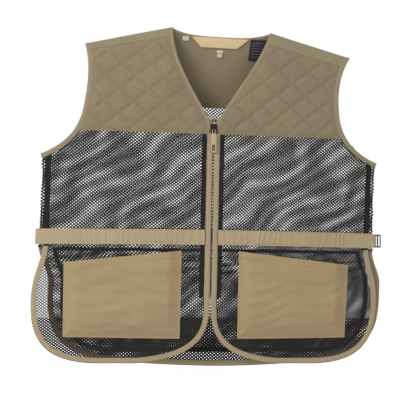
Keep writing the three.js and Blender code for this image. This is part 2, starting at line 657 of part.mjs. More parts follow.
function addPockets() {
  const topIn = beltTop + BELT_HEIGHT + POCKET_BELOW_BELT;
  const bottom = FRONT_HEM - POCKET_ABOVE_HEM;
  const wall = NET_THICK;
  for (const side of sides) {
    const outline = [[POCKET_IN, topIn], [POCKET_OUT, topIn + POCKET_SLANT],
      [POCKET_OUT - 2, bottom - 2], [POCKET_IN, bottom]];
    const hollow = [[POCKET_IN + wall, topIn - POCKET_RISE], [POCKET_OUT - wall, topIn],
      [POCKET_OUT - 2 - wall, bottom - 2 - wall], [POCKET_IN + wall, bottom - wall]];
    addCloth(`pocket_${sideName(side)}`,
      tray(onFront, BELT_LAYER + POCKET_DEPTH, wall, mirror(outline, side), mirror(hollow, side), 0),
      CLOTH.tan);
  }
}

function addPouch() {
  const half = CHEST_HALF - POUCH_INSET;
  const top = VENT_DROP + 4;
  const bottom = BACK_LENGTH - POUCH_ABOVE_HEM;
  const wall = NET_THICK;
  const bag = (edge, rim) => {
    const low = bottom - (half - edge);
    const { across, below, up } = POUCH_CORNER;
    const flank = curve([edge, rim], [edge, VENT_DROP + below],
      [edge, low - up, edge - across / 4, low, edge - across, low]);
    return [...flank, ...mirror(flank, -1).reverse()];
  };
  const hollow = bag(half - wall, top - POCKET_RISE);
  addCloth("rear_pouch",
    tray(onBack, BELT_LAYER + POUCH_DEPTH, wall, bag(half, top), hollow, BACK_SWAY), CLOTH.black);
}

// ---- labels, sewn on the inner face of the back yoke ----

function addLabels() {
  const face = -BINDING_LAP - GAP;
  const label = (outline) => keep(onBack(face - LABEL_THICK, face), prism(outline));
  const top = NECK_SCOOP + NECK_BINDING - LABEL_TUCK;
  const tag = ({ from, width, drop, length }) =>
    label(rectangle(from, top + drop, from + width, top + drop + length));
  const { topHalf, lowHalf, height } = NECK_LABEL;
  addCloth("neck_label",
    label([[-topHalf, top], [topHalf, top], [lowHalf, top + height], [-lowHalf, top + height]]),
    CLOTH.cream);
  addCloth("size_label", tag(SIZE_LABEL), CLOTH.white);
  addCloth("laundry_tab", tag(LAUNDRY_TAB), CLOTH.white);
  addCloth("care_label", tag(CARE_LABEL), CLOTH.black);
}

addBack();
addFront(1);
addFront(-1);
addBindings();
addZip(1);
addZip(-1);
addZipEnd();
addSlider();
addBelt();
addAdjusters();
addPockets();
addPouch();
addLabels();

export default vest;
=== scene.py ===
# %% [markdown]
# # A field vest with quilted yokes and an open net body
#
# The imported CAD model gives every piece of the vest its place. It is loaded first, as a fixed frame.

# %% Load the frame
import json
import math

import bpy
import numpy as np
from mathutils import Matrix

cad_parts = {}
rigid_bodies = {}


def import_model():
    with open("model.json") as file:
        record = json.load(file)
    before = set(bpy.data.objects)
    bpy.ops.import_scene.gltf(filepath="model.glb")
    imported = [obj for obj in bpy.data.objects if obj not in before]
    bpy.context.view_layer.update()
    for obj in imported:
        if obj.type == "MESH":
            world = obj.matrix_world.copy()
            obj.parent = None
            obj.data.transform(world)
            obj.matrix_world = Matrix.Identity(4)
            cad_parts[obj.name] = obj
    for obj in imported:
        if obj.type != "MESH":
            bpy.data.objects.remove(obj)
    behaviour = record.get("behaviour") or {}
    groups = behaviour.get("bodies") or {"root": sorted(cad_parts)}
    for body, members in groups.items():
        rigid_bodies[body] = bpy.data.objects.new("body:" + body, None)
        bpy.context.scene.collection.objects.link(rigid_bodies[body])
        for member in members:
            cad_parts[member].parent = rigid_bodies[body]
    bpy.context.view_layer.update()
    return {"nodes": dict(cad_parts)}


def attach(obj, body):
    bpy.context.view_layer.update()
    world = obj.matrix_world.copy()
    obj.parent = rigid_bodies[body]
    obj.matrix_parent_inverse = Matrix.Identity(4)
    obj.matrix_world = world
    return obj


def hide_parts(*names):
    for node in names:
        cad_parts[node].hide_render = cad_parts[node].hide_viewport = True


for leftover in list(bpy.data.objects):
    bpy.data.objects.remove(leftover)
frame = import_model()
nodes = frame["nodes"]

# %% [markdown]
# ## Stage, light and camera
#
# The vest hangs in front of a plain white studio. The world gives even light from every side, as a
# light tent does, and one large lamp from the upper left adds a soft direction, so that gathers and
# quilting show. A long lens keeps the panels flat, as in a catalogue picture.

# %% Floor, lights and camera
FIELD = 0.740
LENS = 180
AIM = (-0.0402, -0.03, -0.315)
FLOOR_Z = -0.80


def make_stage():
    bpy.ops.mesh.primitive_plane_add(size=9, location=(0, 0, FLOOR_Z))
    floor = bpy.context.object
    floor.name = "studio_floor"
    bpy.ops.object.transform_apply(location=True, rotation=True, scale=True)
    paper = bpy.data.materials.new("pale_paper")
    paper.use_nodes = True
    paper.node_tree.nodes["Principled BSDF"].inputs["Base Color"].default_value = (0.92, 0.92, 0.92, 1)
    paper.node_tree.nodes["Principled BSDF"].inputs["Roughness"].default_value = 0.9
    floor.data.materials.append(paper)
    floor.is_shadow_catcher = True


def make_light():
    world = bpy.data.worlds.new("light_tent")
    bpy.context.scene.world = world
    world.use_nodes = True
    tree = world.node_tree
    seen = tree.nodes.new("ShaderNodeLightPath")
    strength = tree.nodes.new("ShaderNodeMix")
    strength.inputs["A"].default_value = 0.50
    strength.inputs["B"].default_value = 1.0
    background = tree.nodes["Background"]
    background.inputs["Color"].default_value = (1, 1, 1, 1)
    tree.links.new(seen.outputs["Is Camera Ray"], strength.inputs["Factor"])
    tree.links.new(strength.outputs["Result"], background.inputs["Strength"])
    for name, place, size, power in (
        ("key", (-1.9, -1.7, 1.6), 1.2, 62),
        ("fill", (1.9, -1.7, 0.2), 1.8, 9),
    ):
        bpy.ops.object.light_add(type="AREA", location=place)
        lamp = bpy.context.object
        lamp.name = f"{name}_light"
        lamp.data.size = size
        lamp.data.energy = power
        aim = np.array(AIM) - np.array(place)
        lamp.rotation_euler = (
            math.pi / 2 + math.atan2(aim[2], math.hypot(aim[0], aim[1])), 0,
            math.atan2(aim[1], aim[0]) - math.pi / 2)


def make_camera():
    distance = FIELD * LENS / 36
    bpy.ops.object.camera_add(location=(AIM[0], AIM[1] - distance, AIM[2]), rotation=(math.pi / 2, 0, 0))
    camera = bpy.context.object
    camera.data.lens = LENS
    camera.data.sensor_width = 36
    camera.data.clip_end = 50
    bpy.context.scene.camera = camera


make_stage()
make_light()
make_camera()
bpy.context.scene.view_settings.view_transform = "Standard"

# %% [markdown]
# ## The pattern and how it hangs
#
# A vest is cut flat, so each piece is drawn flat here too: `u` runs out from the centre front and
# `v` runs down from the neck points, in millimetres. `lie` then hangs a point of the flat pattern in
# space, on the front or the back, a given distance out from the cloth's inner face. The CAD solids
# are made with the same rule, so the cloth lands where they are.

# %% Pattern sizes
NECK_HALF, NECK_SCOOP = 90, 11
SHOULDER_HALF, SHOULDER_DROP = 246, 39
ARM_HALF, CHEST_HALF, UNDERARM_DROP = 233, 311, 237
VENT_DROP, BACK_LENGTH, FRONT_RISE = 404, 625.5, 7.5
FLAP_FLARE, FLAP_BELLY, FLAP_SPREAD = 11, 11, 46
FRONT_CORNER, SIDE_CORNER = 130, 110
YOKE_DROP, BACK_YOKE_DROP = 192, 141.5
FORWARD_SEAM = {1: (20, 19), -1: (15, 10)}
SKIRT_SEAM = 388
SEAM_TAPE_WIDTH, SEAM_TAPE_INSET = 10.4, 7.6
NECK_BINDING, ARM_BINDING, FRONT_BINDING, HEM_BINDING = 6, 8.5, 9.8, 9.8
ZIP_TOP, ZIP_LENGTH, ZIP_THROAT = 172, 324, 6
BELT_HEIGHT, BELT_ABOVE_VENT, BELT_SAG, BELT_END_LENGTH = 28, 3, 3, 56
POCKET_INSET = 47
POCKET_OUT, POCKET_IN, POCKET_BELOW_BELT = CHEST_HALF - POCKET_INSET, 53, 11
POCKET_SLANT, POCKET_ABOVE_HEM = 24, 46
POUCH_INSET, POUCH_ABOVE_HEM = 24, 26
POUCH_CORNER_ACROSS, POUCH_CORNER_BELOW, POUCH_CORNER_UP = 97, 95.5, 40
BULGE, LENS_POWER, SHOULDER_ROUND, CLOSED_EDGE, HEM_FLATTEN = 34, 2.4, 160, 0.5, 0.45
TILT, NECK_LEAN, SKEW, SHOULDER_SLOPE = 0.0206, 10.7, 0.045, 0.062
BACK_SWAY, SWAY_LENGTH = 18, 66
ZIP_BOTTOM = ZIP_TOP + ZIP_LENGTH
FRONT_HEM = BACK_LENGTH - FRONT_RISE
FRONT_EDGE = 2.2
BINDING_TOP = YOKE_DROP - 1.7
SEAM_OUT = CHEST_HALF - SEAM_TAPE_INSET
SEAM_IN = SEAM_OUT - SEAM_TAPE_WIDTH
BELT_LAYER = 1.9
FRONT, BACK = 0.0, 1.0
SIDES = ((1, "left"), (-1, "right"))
MM = 0.001


# %% How the cloth hangs
def smooth(t):
    t = np.clip(t, 0, 1)
    return t * t * (3 - 2 * t)


def shoulder_line(u):
    return SHOULDER_DROP * np.maximum(0, np.abs(u) - NECK_HALF) / (SHOULDER_HALF - NECK_HALF)


def depth(u, v):
    flare = (FLAP_FLARE + FLAP_BELLY) * smooth((v - VENT_DROP) / FLAP_SPREAD)
    across = 1 - (np.abs(u) / (CHEST_HALF + flare)) ** LENS_POWER
    fall = np.minimum(1, (v - shoulder_line(u)) / SHOULDER_ROUND)
    down = np.where(fall < 0, 2 * fall, 1 - (1 - fall) ** 2)
    hem = 1 - HEM_FLATTEN * smooth((v - ZIP_BOTTOM - 12) / (BACK_LENGTH - ZIP_BOTTOM))
    return CLOSED_EDGE + BULGE * across * down * hem


def hang(u, v, back):
    lean = NECK_LEAN * (np.maximum(0, 1 - v / ZIP_TOP) ** 2 - 1) - TILT * v
    skew = SKEW * np.sqrt(np.maximum(0, v) / BACK_LENGTH) * np.abs(u)
    slope = SHOULDER_SLOPE * np.maximum(0, 1 - np.maximum(v, 0) / BACK_LENGTH) ** 1.5 * u
    drift = BACK_SWAY * back * smooth((v - VENT_DROP) / SWAY_LENGTH)
    return u - skew + lean + drift, -(v + slope)


def slack(u, v, turn):
    """Gentle waves of the hanging cloth; none beside the zip and at the closed edges."""
    wave = (np.sin(0.043 * u + 0.019 * v + 1.3 + 2 * turn) * np.sin(0.029 * v - 0.013 * u + 0.7)
            + 0.6 * np.sin(0.071 * u - 0.033 * v + 2.1 * turn) * np.sin(0.052 * v + 0.4))
    calm = smooth((np.abs(u) - 26) / 60) * smooth((CHEST_HALF - np.abs(u)) / 60)
    return 1.1 * wave * calm * smooth((v - shoulder_line(u)) / 60)


def lie(u, v, out, turn=FRONT, away=(0, 0)):
    """Points in metres; turn goes from 0 on the front to 1 on the back, round a fold facing away."""
    u, v, out, turn = np.broadcast_arrays(*[np.asarray(a, float) for a in (u, v, out, turn)])
    x, z = hang(u, v, turn > 0.5)
    stand = depth(u, v) + out + slack(u, v, np.round(turn))
    bend = np.sin(math.pi * turn) * stand
    place = (x + bend * away[0], -np.cos(math.pi * turn) * stand, z + bend * away[1])
    return np.stack(place, -1) * MM


# %% [markdown]
# ## Edges of the pattern
#
# The neck, the armhole, the side and the flaps are drawn as smooth curves, for the wearer's left
# half; the other half is their mirror image. Bindings follow these curves, and panels end on them.

# %% Edge curves
def curve(start, *steps):
    points = [np.array([start], float)]
    for step in steps:
        p0 = points[-1][-1]
        p = np.array(step, float).reshape(-1, 2)
        t = np.linspace(0, 1, 25)[1:, None]
        if len(p) == 1:
            points.append(p0 + (p[0] - p0) * t)
        else:
            points.append((1 - t) ** 3 * p0 + 3 * t * (1 - t) ** 2 * p[0]
                          + 3 * t * t * (1 - t) * p[1] + t ** 3 * p[2])
    return np.vstack(points)


def arm_at(share):
    return SHOULDER_DROP + (UNDERARM_DROP - SHOULDER_DROP) * share


flap_corner = CHEST_HALF + FLAP_FLARE
neck_edge = curve(
    (NECK_HALF, 0),
    (NECK_HALF - 10, ZIP_TOP * 0.36, NECK_HALF * 0.38, ZIP_TOP * 0.68, ZIP_THROAT, ZIP_TOP),
    (ZIP_THROAT, YOKE_DROP - 2))
back_neck_edge = curve((NECK_HALF, 0), (NECK_HALF * 0.72, NECK_SCOOP - 1, NECK_HALF * 0.5, NECK_SCOOP,
                                        0, NECK_SCOOP))
arm_edge = curve(
    (SHOULDER_HALF, SHOULDER_DROP),
    (ARM_HALF, arm_at(0.146), ARM_HALF - 2, arm_at(0.333), ARM_HALF + 3, arm_at(0.51)),
    (ARM_HALF + 7, arm_at(0.722), ARM_HALF + 25, arm_at(0.884), CHEST_HALF, UNDERARM_DROP))
side_edge = curve(
    (CHEST_HALF, UNDERARM_DROP),
    (CHEST_HALF - 5, UNDERARM_DROP + 20, CHEST_HALF - 3, UNDERARM_DROP + 80, CHEST_HALF, VENT_DROP))
front_flap_edge = curve(
    (SEAM_OUT, VENT_DROP),
    (CHEST_HALF - 5, VENT_DROP + 36, flap_corner, VENT_DROP + 51, flap_corner, VENT_DROP + 101),
    (flap_corner, FRONT_HEM - 28, flap_corner - 42, FRONT_HEM - 1, flap_corner - SIDE_CORNER - 12,
     FRONT_HEM),
    (FRONT_CORNER, FRONT_HEM - 0.5),
    (FRONT_CORNER - 55, FRONT_HEM - 6, FRONT_EDGE, FRONT_HEM - 18, FRONT_EDGE, ZIP_BOTTOM + 23))
front_edge = np.vstack([front_flap_edge, [(FRONT_EDGE, ZIP_BOTTOM), (FRONT_EDGE, BINDING_TOP)]])
back_flap_edge = curve(
    (CHEST_HALF, VENT_DROP),
    (CHEST_HALF, VENT_DROP + 26, CHEST_HALF - 2, VENT_DROP + 46, CHEST_HALF - 1.5, VENT_DROP + 96),
    (CHEST_HALF - 1.5, BACK_LENGTH - 50, CHEST_HALF - 41, BACK_LENGTH - 9.5,
     CHEST_HALF - SIDE_CORNER - 36, BACK_LENGTH - 7.5),
    (CHEST_HALF / 2 - 45, BACK_LENGTH - 3.5, CHEST_HALF / 6, BACK_LENGTH, 0, BACK_LENGTH))


def mirrored(points, side):
    return points * np.array([side, 1.0])


def whole(half):
    """A curve that ends on the centre line, with its mirror image."""
    return np.vstack([half, mirrored(half, -1)[::-1][1:]])


def neck_at(v):
    return np.interp(v, neck_edge[:, 1], neck_edge[:, 0])


def arm_u(v):
    return np.interp(v, arm_edge[:, 1], arm_edge[:, 0])


def forward_seam(u, side):
    neck, arm = FORWARD_SEAM[side]
    return neck + (SHOULDER_DROP + arm - neck) * (u - NECK_HALF) / (SHOULDER_HALF - NECK_HALF)


def resampled(points, step):
    """The same line with its points about a step apart, and how far along each one is."""
    along = np.r_[0, np.cumsum(np.hypot(*np.diff(points, axis=0).T))]
    at = np.linspace(0, along[-1], max(2, round(along[-1] / step)) + 1)
    return np.stack([np.interp(at, along, points[:, k]) for k in (0, 1)], -1), at


def inside(u, v, outline):
    """Which points lie inside a closed outline of the pattern."""
    hit = np.zeros(u.shape, bool)
    for (u0, v0), (u1, v1) in zip(outline, np.roll(outline, -1, axis=0)):
        if v0 != v1:
            crosses = (v0 > v) != (v1 > v)
            hit ^= crosses & (u < (u1 - u0) * (v - v0) / (v1 - v0) + u0)
    return hit


print("armhole edge", round(resampled(arm_edge, 5)[1][-1]), "mm")

# %% [markdown]
# ## Cloth and thread finishes
#
# The tan cloth is a plain weave of fine yarns, so its material is two sets of fine ridges crossing at
# right angles, read from the flat pattern, so that they follow the cut. Slow noise varies the colour
# as washed cotton does, and other noise bumps the surface into soft creases. On the quilted cloth,
# painted shade darkens the colour along the quilting lines. Sheen gives the soft edge of cloth.

# %% Material helpers
def new_material(name, colour, roughness, **sockets):
    material = bpy.data.materials.new(name)
    material.use_nodes = True
    shader = material.node_tree.nodes["Principled BSDF"]
    shader.inputs["Base Color"].default_value = (*colour, 1)
    shader.inputs["Roughness"].default_value = roughness
    for socket, value in sockets.items():
        shader.inputs[socket.replace("_", " ")].default_value = value
    return material, material.node_tree, shader


def add(tree, kind, links=(), **values):
    node = tree.nodes.new(kind)
    for key, value in values.items():
        setattr(node, key, value)
    for socket, source in dict(links).items():
        if isinstance(source, (int, float, tuple)):
            node.inputs[socket].default_value = source
        else:
            tree.links.new(source, node.inputs[socket])
    return node


def math_node(tree, operation, *inputs):
    return add(tree, "ShaderNodeMath", dict(enumerate(inputs)), operation=operation).outputs[0]


def tinted(tree, colour, share, low, high):
    """The colour, from a darker to a lighter one by a share between 0 and 1."""
    ramp = add(tree, "ShaderNodeMapRange", {"Value": share, "To Min": low, "To Max": high})
    return add(tree, "ShaderNodeVectorMath", {0: tuple(colour), "Scale": ramp.outputs[0]},
               operation="SCALE").outputs[0]


def woven(name, colour, pitch=0.55, relief=0.12, mottle=0.10, sheen=0.25, roughness=0.92, slub=0.5,
          creased=0.3):
    """Plain-woven cloth; pitch is the distance between yarns in millimetres."""
    material, tree, shader = new_material(name, colour, roughness, Sheen_Weight=sheen,
                                          Sheen_Roughness=0.5, Specular_IOR_Level=0.2)
    flat = add(tree, "ShaderNodeTexCoord").outputs["UV"]
    place = add(tree, "ShaderNodeTexCoord").outputs["Object"]
    ridges = [add(tree, "ShaderNodeTexWave", {"Vector": flat, "Scale": 0.314 / (pitch * MM),
                                              "Distortion": 0.6, "Detail": 1.0},
                  bands_direction=axis).outputs["Fac"] for axis in ("X", "Y")]
    weave = math_node(tree, "MAXIMUM", *ridges)
    cloud = add(tree, "ShaderNodeTexNoise", {"Vector": place, "Scale": 18.0, "Detail": 3.0})
    yarn = add(tree, "ShaderNodeTexNoise",
               {"Vector": add(tree, "ShaderNodeMapping", {"Vector": flat, "Scale": (60.0, 900.0, 1.0)})
                .outputs[0], "Scale": 1.0, "Detail": 2.0})
    blend = math_node(tree, "ADD", math_node(tree, "MULTIPLY", cloud.outputs["Fac"], 1 - slub / 2),
                      math_node(tree, "MULTIPLY", yarn.outputs["Fac"], slub / 2))
    shade = math_node(tree, "ADD", math_node(tree, "MULTIPLY", blend, 0.85),
                      math_node(tree, "MULTIPLY", weave, 0.15))
    tree.links.new(tinted(tree, colour, shade, 1 - 1.6 * mottle, 1 + 1.6 * mottle),
                   shader.inputs["Base Color"])
    washed = add(tree, "ShaderNodeTexNoise", {"Vector": place, "Scale": 42.0, "Detail": 4.0,
                                              "Distortion": 0.8})
    creases = add(tree, "ShaderNodeBump", {"Height": washed.outputs["Fac"], "Strength": creased,
                                           "Distance": 0.004})
    bump = add(tree, "ShaderNodeBump", {"Height": weave, "Strength": relief, "Distance": 0.0002,
                                        "Normal": creases.outputs[0]})
    tree.links.new(bump.outputs[0], shader.inputs["Normal"])
    return material


def quilted(name, colour, lines, **options):
    """Woven cloth with painted shade: a little darker in the valleys along the quilting; lines says where
    they run.
    """
    material = woven(name, colour, **options)
    tree = material.node_tree
    shader = tree.nodes["Principled BSDF"]
    flat = add(tree, "ShaderNodeTexCoord").outputs["UV"]
    parts = add(tree, "ShaderNodeSeparateXYZ", {0: flat}).outputs
    u = math_node(tree, "ABSOLUTE", parts[0])
    across, down, start = lines
    near = []
    for sign in (1, -1):
        run = math_node(tree, "ADD", math_node(tree, "DIVIDE", u, across * MM),
                        math_node(tree, "DIVIDE", parts[1], sign * down * MM))
        near.append(math_node(tree, "PINGPONG", math_node(tree, "ADD", run, start), 0.5))
    valley = math_node(tree, "MINIMUM", *near)
    # Painted shade: near the quilting lines the colour is darkened to 0.92 of itself, standing for the shade
    # in the valleys.
    shade = add(tree, "ShaderNodeMapRange",
                {"Value": valley, "From Max": 0.14, "To Min": 0.92, "To Max": 1.0},
                interpolation_type="SMOOTHSTEP").outputs[0]
    plain = shader.inputs["Base Color"].links[0].from_socket
    darker = add(tree, "ShaderNodeVectorMath", {0: plain, "Scale": shade}, operation="SCALE").outputs[0]
    tree.links.new(darker, shader.inputs["Base Color"])
    return material


def knitted(name, colour, roughness=0.75):
    """Black net yarn: fine twisted filament, a little shiny along the strand."""
    material, tree, shader = new_material(name, colour, roughness, Sheen_Weight=0.08,
                                          Specular_IOR_Level=0.35)
    flat = add(tree, "ShaderNodeTexCoord").outputs["UV"]
    twist = add(tree, "ShaderNodeTexWave", {"Vector": flat, "Scale": 620.0, "Distortion": 2.0},
                bands_direction="DIAGONAL").outputs["Fac"]
    tree.links.new(tinted(tree, colour, twist, 0.7, 1.5), shader.inputs["Base Color"])
    bump = add(tree, "ShaderNodeBump", {"Height": twist, "Strength": 0.3, "Distance": 0.0002})
    tree.links.new(bump.outputs[0], shader.inputs["Normal"])
    return material


def moulded(name, colour, roughness, grain=0.05, metallic=0.0):
    """Moulded plastic or enamelled metal with a faint grain."""
    material, tree, shader = new_material(name, colour, roughness, Metallic=metallic)
    place = add(tree, "ShaderNodeTexCoord").outputs["Object"]
    speck = add(tree, "ShaderNodeTexNoise", {"Vector": place, "Scale": 900.0, "Detail": 2.0}).outputs["Fac"]
    tree.links.new(tinted(tree, colour, speck, 0.8, 1.2), shader.inputs["Base Color"])
    rough = add(tree, "ShaderNodeMapRange", {"Value": speck, "To Min": roughness - 0.1,
                                             "To Max": roughness + 0.1})
    tree.links.new(rough.outputs[0], shader.inputs["Roughness"])
    bump = add(tree, "ShaderNodeBump", {"Height": speck, "Strength": grain, "Distance": 0.0002})
    tree.links.new(bump.outputs[0], shader.inputs["Normal"])
    return material


# %% The vest's finishes
KHAKI = (0.235, 0.186, 0.112)
TAN = (0.360, 0.266, 0.142)
QUILT_ACROSS, QUILT_DOWN, QUILT_START = 54.0, 46.0, 0.31
FINISH = {
    "khaki_quilt": quilted("khaki_quilt", KHAKI, (QUILT_ACROSS, QUILT_DOWN, QUILT_START), mottle=0.12),
    "khaki_plain": woven("khaki_plain", (0.262, 0.213, 0.128), mottle=0.09),
    "black_net": knitted("black_net", (0.016, 0.015, 0.013)),
    "pouch_net": knitted("pouch_net", (0.013, 0.012, 0.011)),
    "binding_tape": woven("binding_tape", (0.365, 0.285, 0.175), pitch=0.45, mottle=0.08),
    "edge_tape": woven("edge_tape", (0.285, 0.228, 0.142), pitch=0.45, mottle=0.08),
    "pocket_cloth": woven("pocket_cloth", TAN, mottle=0.09),
    "belt_cloth": woven("belt_cloth", (0.395, 0.312, 0.188), mottle=0.12),
    "black_tape": woven("black_tape", (0.014, 0.013, 0.012), pitch=0.8, mottle=0.2, sheen=0.1),
    "zip_tape": woven("zip_tape", (0.40, 0.31, 0.185), pitch=0.5),
    "tan_thread": woven("tan_thread", (0.34, 0.265, 0.155), pitch=0.2),
    "zip_coil": moulded("zip_coil", (0.15, 0.115, 0.07), 0.45),
    "zip_metal": moulded("zip_metal", (0.018, 0.016, 0.013), 0.35, metallic=0.4),
    "zip_pull": moulded("zip_pull", (0.44, 0.345, 0.205), 0.45),
    "zip_end": moulded("zip_end", (0.40, 0.31, 0.18), 0.5),
    "black_plastic": moulded("black_plastic", (0.012, 0.012, 0.012), 0.4, grain=0.15),
    "cream_label": woven("cream_label", (0.72, 0.55, 0.32), pitch=0.3, relief=0.2, mottle=0.05),
    "white_label": woven("white_label", (0.62, 0.58, 0.48), pitch=0.3, mottle=0.05),
    "black_label": woven("black_label", (0.022, 0.022, 0.03), pitch=0.3, sheen=0.4, roughness=0.6),
    "label_print": woven("label_print", (0.20, 0.20, 0.20), pitch=0.3),
}
print(len(FINISH), "finishes")

# %% [markdown]
# ## Making a piece of cloth
#
# A cloth panel starts as a flat grid. Every point of the grid is given its place on the pattern, and
# `lie` hangs it. A Solidify modifier then gives it thickness inwards, and a small bevel turns the cut
# edge. The piece's UV map holds the flat pattern in metres, so that weaves follow the cut.

# %% Panel helpers
def begin(name, columns, rows):
    bpy.ops.object.select_all(action="DESELECT")
    bpy.ops.mesh.primitive_grid_add(x_subdivisions=columns, y_subdivisions=rows, size=1)
    piece = bpy.context.object
    piece.name = name
    at = coords(piece)
    return piece, at[:, 0] + 0.5, 0.5 - at[:, 1]


def coords(piece):
    flat = np.empty(3 * len(piece.data.vertices))
    piece.data.vertices.foreach_get("co", flat)
    return flat.reshape(-1, 3)


def set_coords(piece, points):
    piece.data.vertices.foreach_set("co", np.asarray(points, float).ravel())
    piece.data.update()


def set_flat(piece, flat_mm):
    """The flat pattern, in metres, as the piece's UV map."""
    layer = piece.data.uv_layers.active or piece.data.uv_layers.new(name="flat_pattern")
    layer.name = "flat_pattern"
    corner_of = np.empty(len(piece.data.loops), int)
    piece.data.loops.foreach_get("vertex_index", corner_of)
    layer.data.foreach_set("uv", (np.asarray(flat_mm)[corner_of] * MM).ravel())


def only(piece):
    bpy.ops.object.select_all(action="DESELECT")
    piece.select_set(True)
    bpy.context.view_layer.objects.active = piece


def apply_modifier(piece, kind, **values):
    only(piece)
    modifier = piece.modifiers.new(kind.lower(), kind)
    for key, value in values.items():
        setattr(modifier, key, value)
    bpy.ops.object.modifier_apply(modifier=modifier.name)


def edit(piece, *steps, select="SELECT"):
    """Runs edit-mode steps on the whole piece."""
    only(piece)
    bpy.ops.object.mode_set(mode="EDIT")
    if select:
        bpy.ops.mesh.select_all(action=select)
    for step, values in steps:
        step(**values)
    bpy.ops.object.mode_set(mode="OBJECT")


def weld(piece, distance=0.00004, outwards=True):
    steps = [(bpy.ops.mesh.remove_doubles, {"threshold": distance})]
    if outwards:
        steps.append((bpy.ops.mesh.normals_make_consistent, {"inside": False}))
    edit(piece, *steps)


def face_out(piece, outward):
    """Turns a single-layer panel so that its faces look along outward."""
    normals = np.array([p.normal for p in piece.data.polygons])
    if (normals @ np.asarray(outward, float)).sum() < 0:
        edit(piece, (bpy.ops.mesh.flip_normals, {}))


def finish_piece(piece, finish, stands_for=(), body="vest", angle=40):
    piece.data.materials.clear()
    piece.data.materials.append(FINISH[finish])
    only(piece)
    bpy.ops.object.shade_smooth_by_angle(angle=math.radians(angle))
    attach(piece, body)
    if stands_for:
        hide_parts(*stands_for)
    return piece


def panel(name, columns, rows, place, finish, thick, outward, stands_for=(), edge=0.0003, **options):
    """A panel whose place(s, t) gives u, v, out, turn and the way a fold faces."""
    piece, s, t = begin(name, columns, rows)
    where = place(s, t)
    set_coords(piece, lie(*where))
    set_flat(piece, np.stack(np.broadcast_arrays(where[0], where[1]), -1))
    face_out(piece, outward)
    apply_modifier(piece, "SOLIDIFY", thickness=thick * MM, offset=-1)
    if edge:
        apply_modifier(piece, "BEVEL", width=edge, segments=2, limit_method="ANGLE", angle_limit=1.2)
    return finish_piece(piece, finish, stands_for, **options)


def declare_sheet(piece, outline, with_pieces=()):
    """Does nothing but list the pieces sewn to the sheet."""
    list(with_pieces)


UP_SHOULDER = (0.24, 0.97)

# %% [markdown]
# ## The open net
#
# The body is a knitted net with diamond cells about 6 mm wide. A grid turned by 45 degrees and
# squashed gives the diamonds; the cells outside the panel are deleted; each cell is inset by half a
# strand, and the inner faces are deleted, which leaves the strands. Only then is the net hung and
# given its thickness. This is real open work, so light and colour pass through the holes, and the
# front and back nets make their shimmering bands together as two real nets do.

# %% Net helper
def net(name, outline, hang_net, cell, strand, finish, outward, stands_for=(), turn_by=0.0, thick=0.8):
    """A net inside an outline; cell is a diamond's width and height and strand the yarn's width."""
    outline = np.asarray(outline, float)
    low, high = outline.min(0), outline.max(0)
    middle = (low + high) / 2
    cells = int(np.ceil(((high - low) / cell).sum())) + 4
    piece, _, _ = begin(name, cells, cells)
    side = cells / math.sqrt(2)
    edit(piece,
         (bpy.ops.transform.resize, {"value": (side, side, 1)}),
         (bpy.ops.transform.rotate, {"value": math.pi / 4, "orient_axis": "Z", "center_override": (0, 0, 0)}),
         (bpy.ops.transform.resize, {"value": (cell[0] * MM, cell[1] * MM, 1)}))
    corner = coords(piece)
    c, d = math.cos(turn_by), math.sin(turn_by)
    u = (corner[:, 0] * c - corner[:, 1] * d) / MM + middle[0]
    v = (corner[:, 0] * d + corner[:, 1] * c) / MM + middle[1]
    set_coords(piece, np.stack([u * MM, v * MM, 0 * u], -1))
    centres = np.array([p.center[:2] for p in piece.data.polygons]) / MM
    outside = ~inside(centres[:, 0], centres[:, 1], outline)
    piece.data.polygons.foreach_set("select", outside)
    only(piece)
    bpy.ops.object.mode_set(mode="EDIT")
    bpy.ops.mesh.select_mode(type="FACE")
    bpy.ops.object.mode_set(mode="OBJECT")
    piece.data.polygons.foreach_set("select", outside)
    bpy.ops.object.mode_set(mode="EDIT")
    bpy.ops.mesh.delete(type="FACE")
    bpy.ops.mesh.select_all(action="SELECT")
    bpy.ops.mesh.inset(thickness=strand * MM / 2, use_individual=True)
    bpy.ops.mesh.delete(type="FACE")
    bpy.ops.object.mode_set(mode="OBJECT")
    flat = coords(piece)[:, :2] / MM
    set_flat(piece, flat)
    set_coords(piece, lie(*hang_net(flat[:, 0], flat[:, 1])))
    face_out(piece, outward)
    apply_modifier(piece, "SOLIDIFY", thickness=thick * MM, offset=-1)
    finish_piece(piece, finish, stands_for, angle=30)
    print(f"{name}: {centres.shape[0] - outside.sum()} cells, {len(piece.data.polygons)} faces")
    return piece


def side_u(v):
    return np.interp(v, side_edge[:, 1], side_edge[:, 0])


def round_the_side(w, v, out, fold=1.5):
    """Across the back and on round the side seam: past the side edge, w runs back over the front."""
    edge = side_u(v)
    past = np.clip((np.abs(w) - edge) / fold, -1, 1)
    turned = (v > UNDERARM_DROP) & (v < VENT_DROP + 4)
    turn = np.where(turned, (1 - past) / 2, 1.0)
    u = np.where(turned, edge - np.abs(np.abs(w) - edge), np.abs(w)) * np.sign(w)
    return u, v, out, turn, (np.sign(w), 0)


# %% The body nets
FRONT_CELL, BACK_CELL = (6.7, 5.1), (6.5, 5.8)
FRONT_YARN, BACK_YARN = 1.35, 1.8
NET_TUCK = 3.5


def edge_normals(points, sign=1.0):
    """Unit vectors to the right of someone walking along the points, in the plane of the pattern."""
    run = np.gradient(points, axis=0)
    run /= np.hypot(*run.T)[:, None]
    return sign * np.stack([-run[:, 1], run[:, 0]], -1)


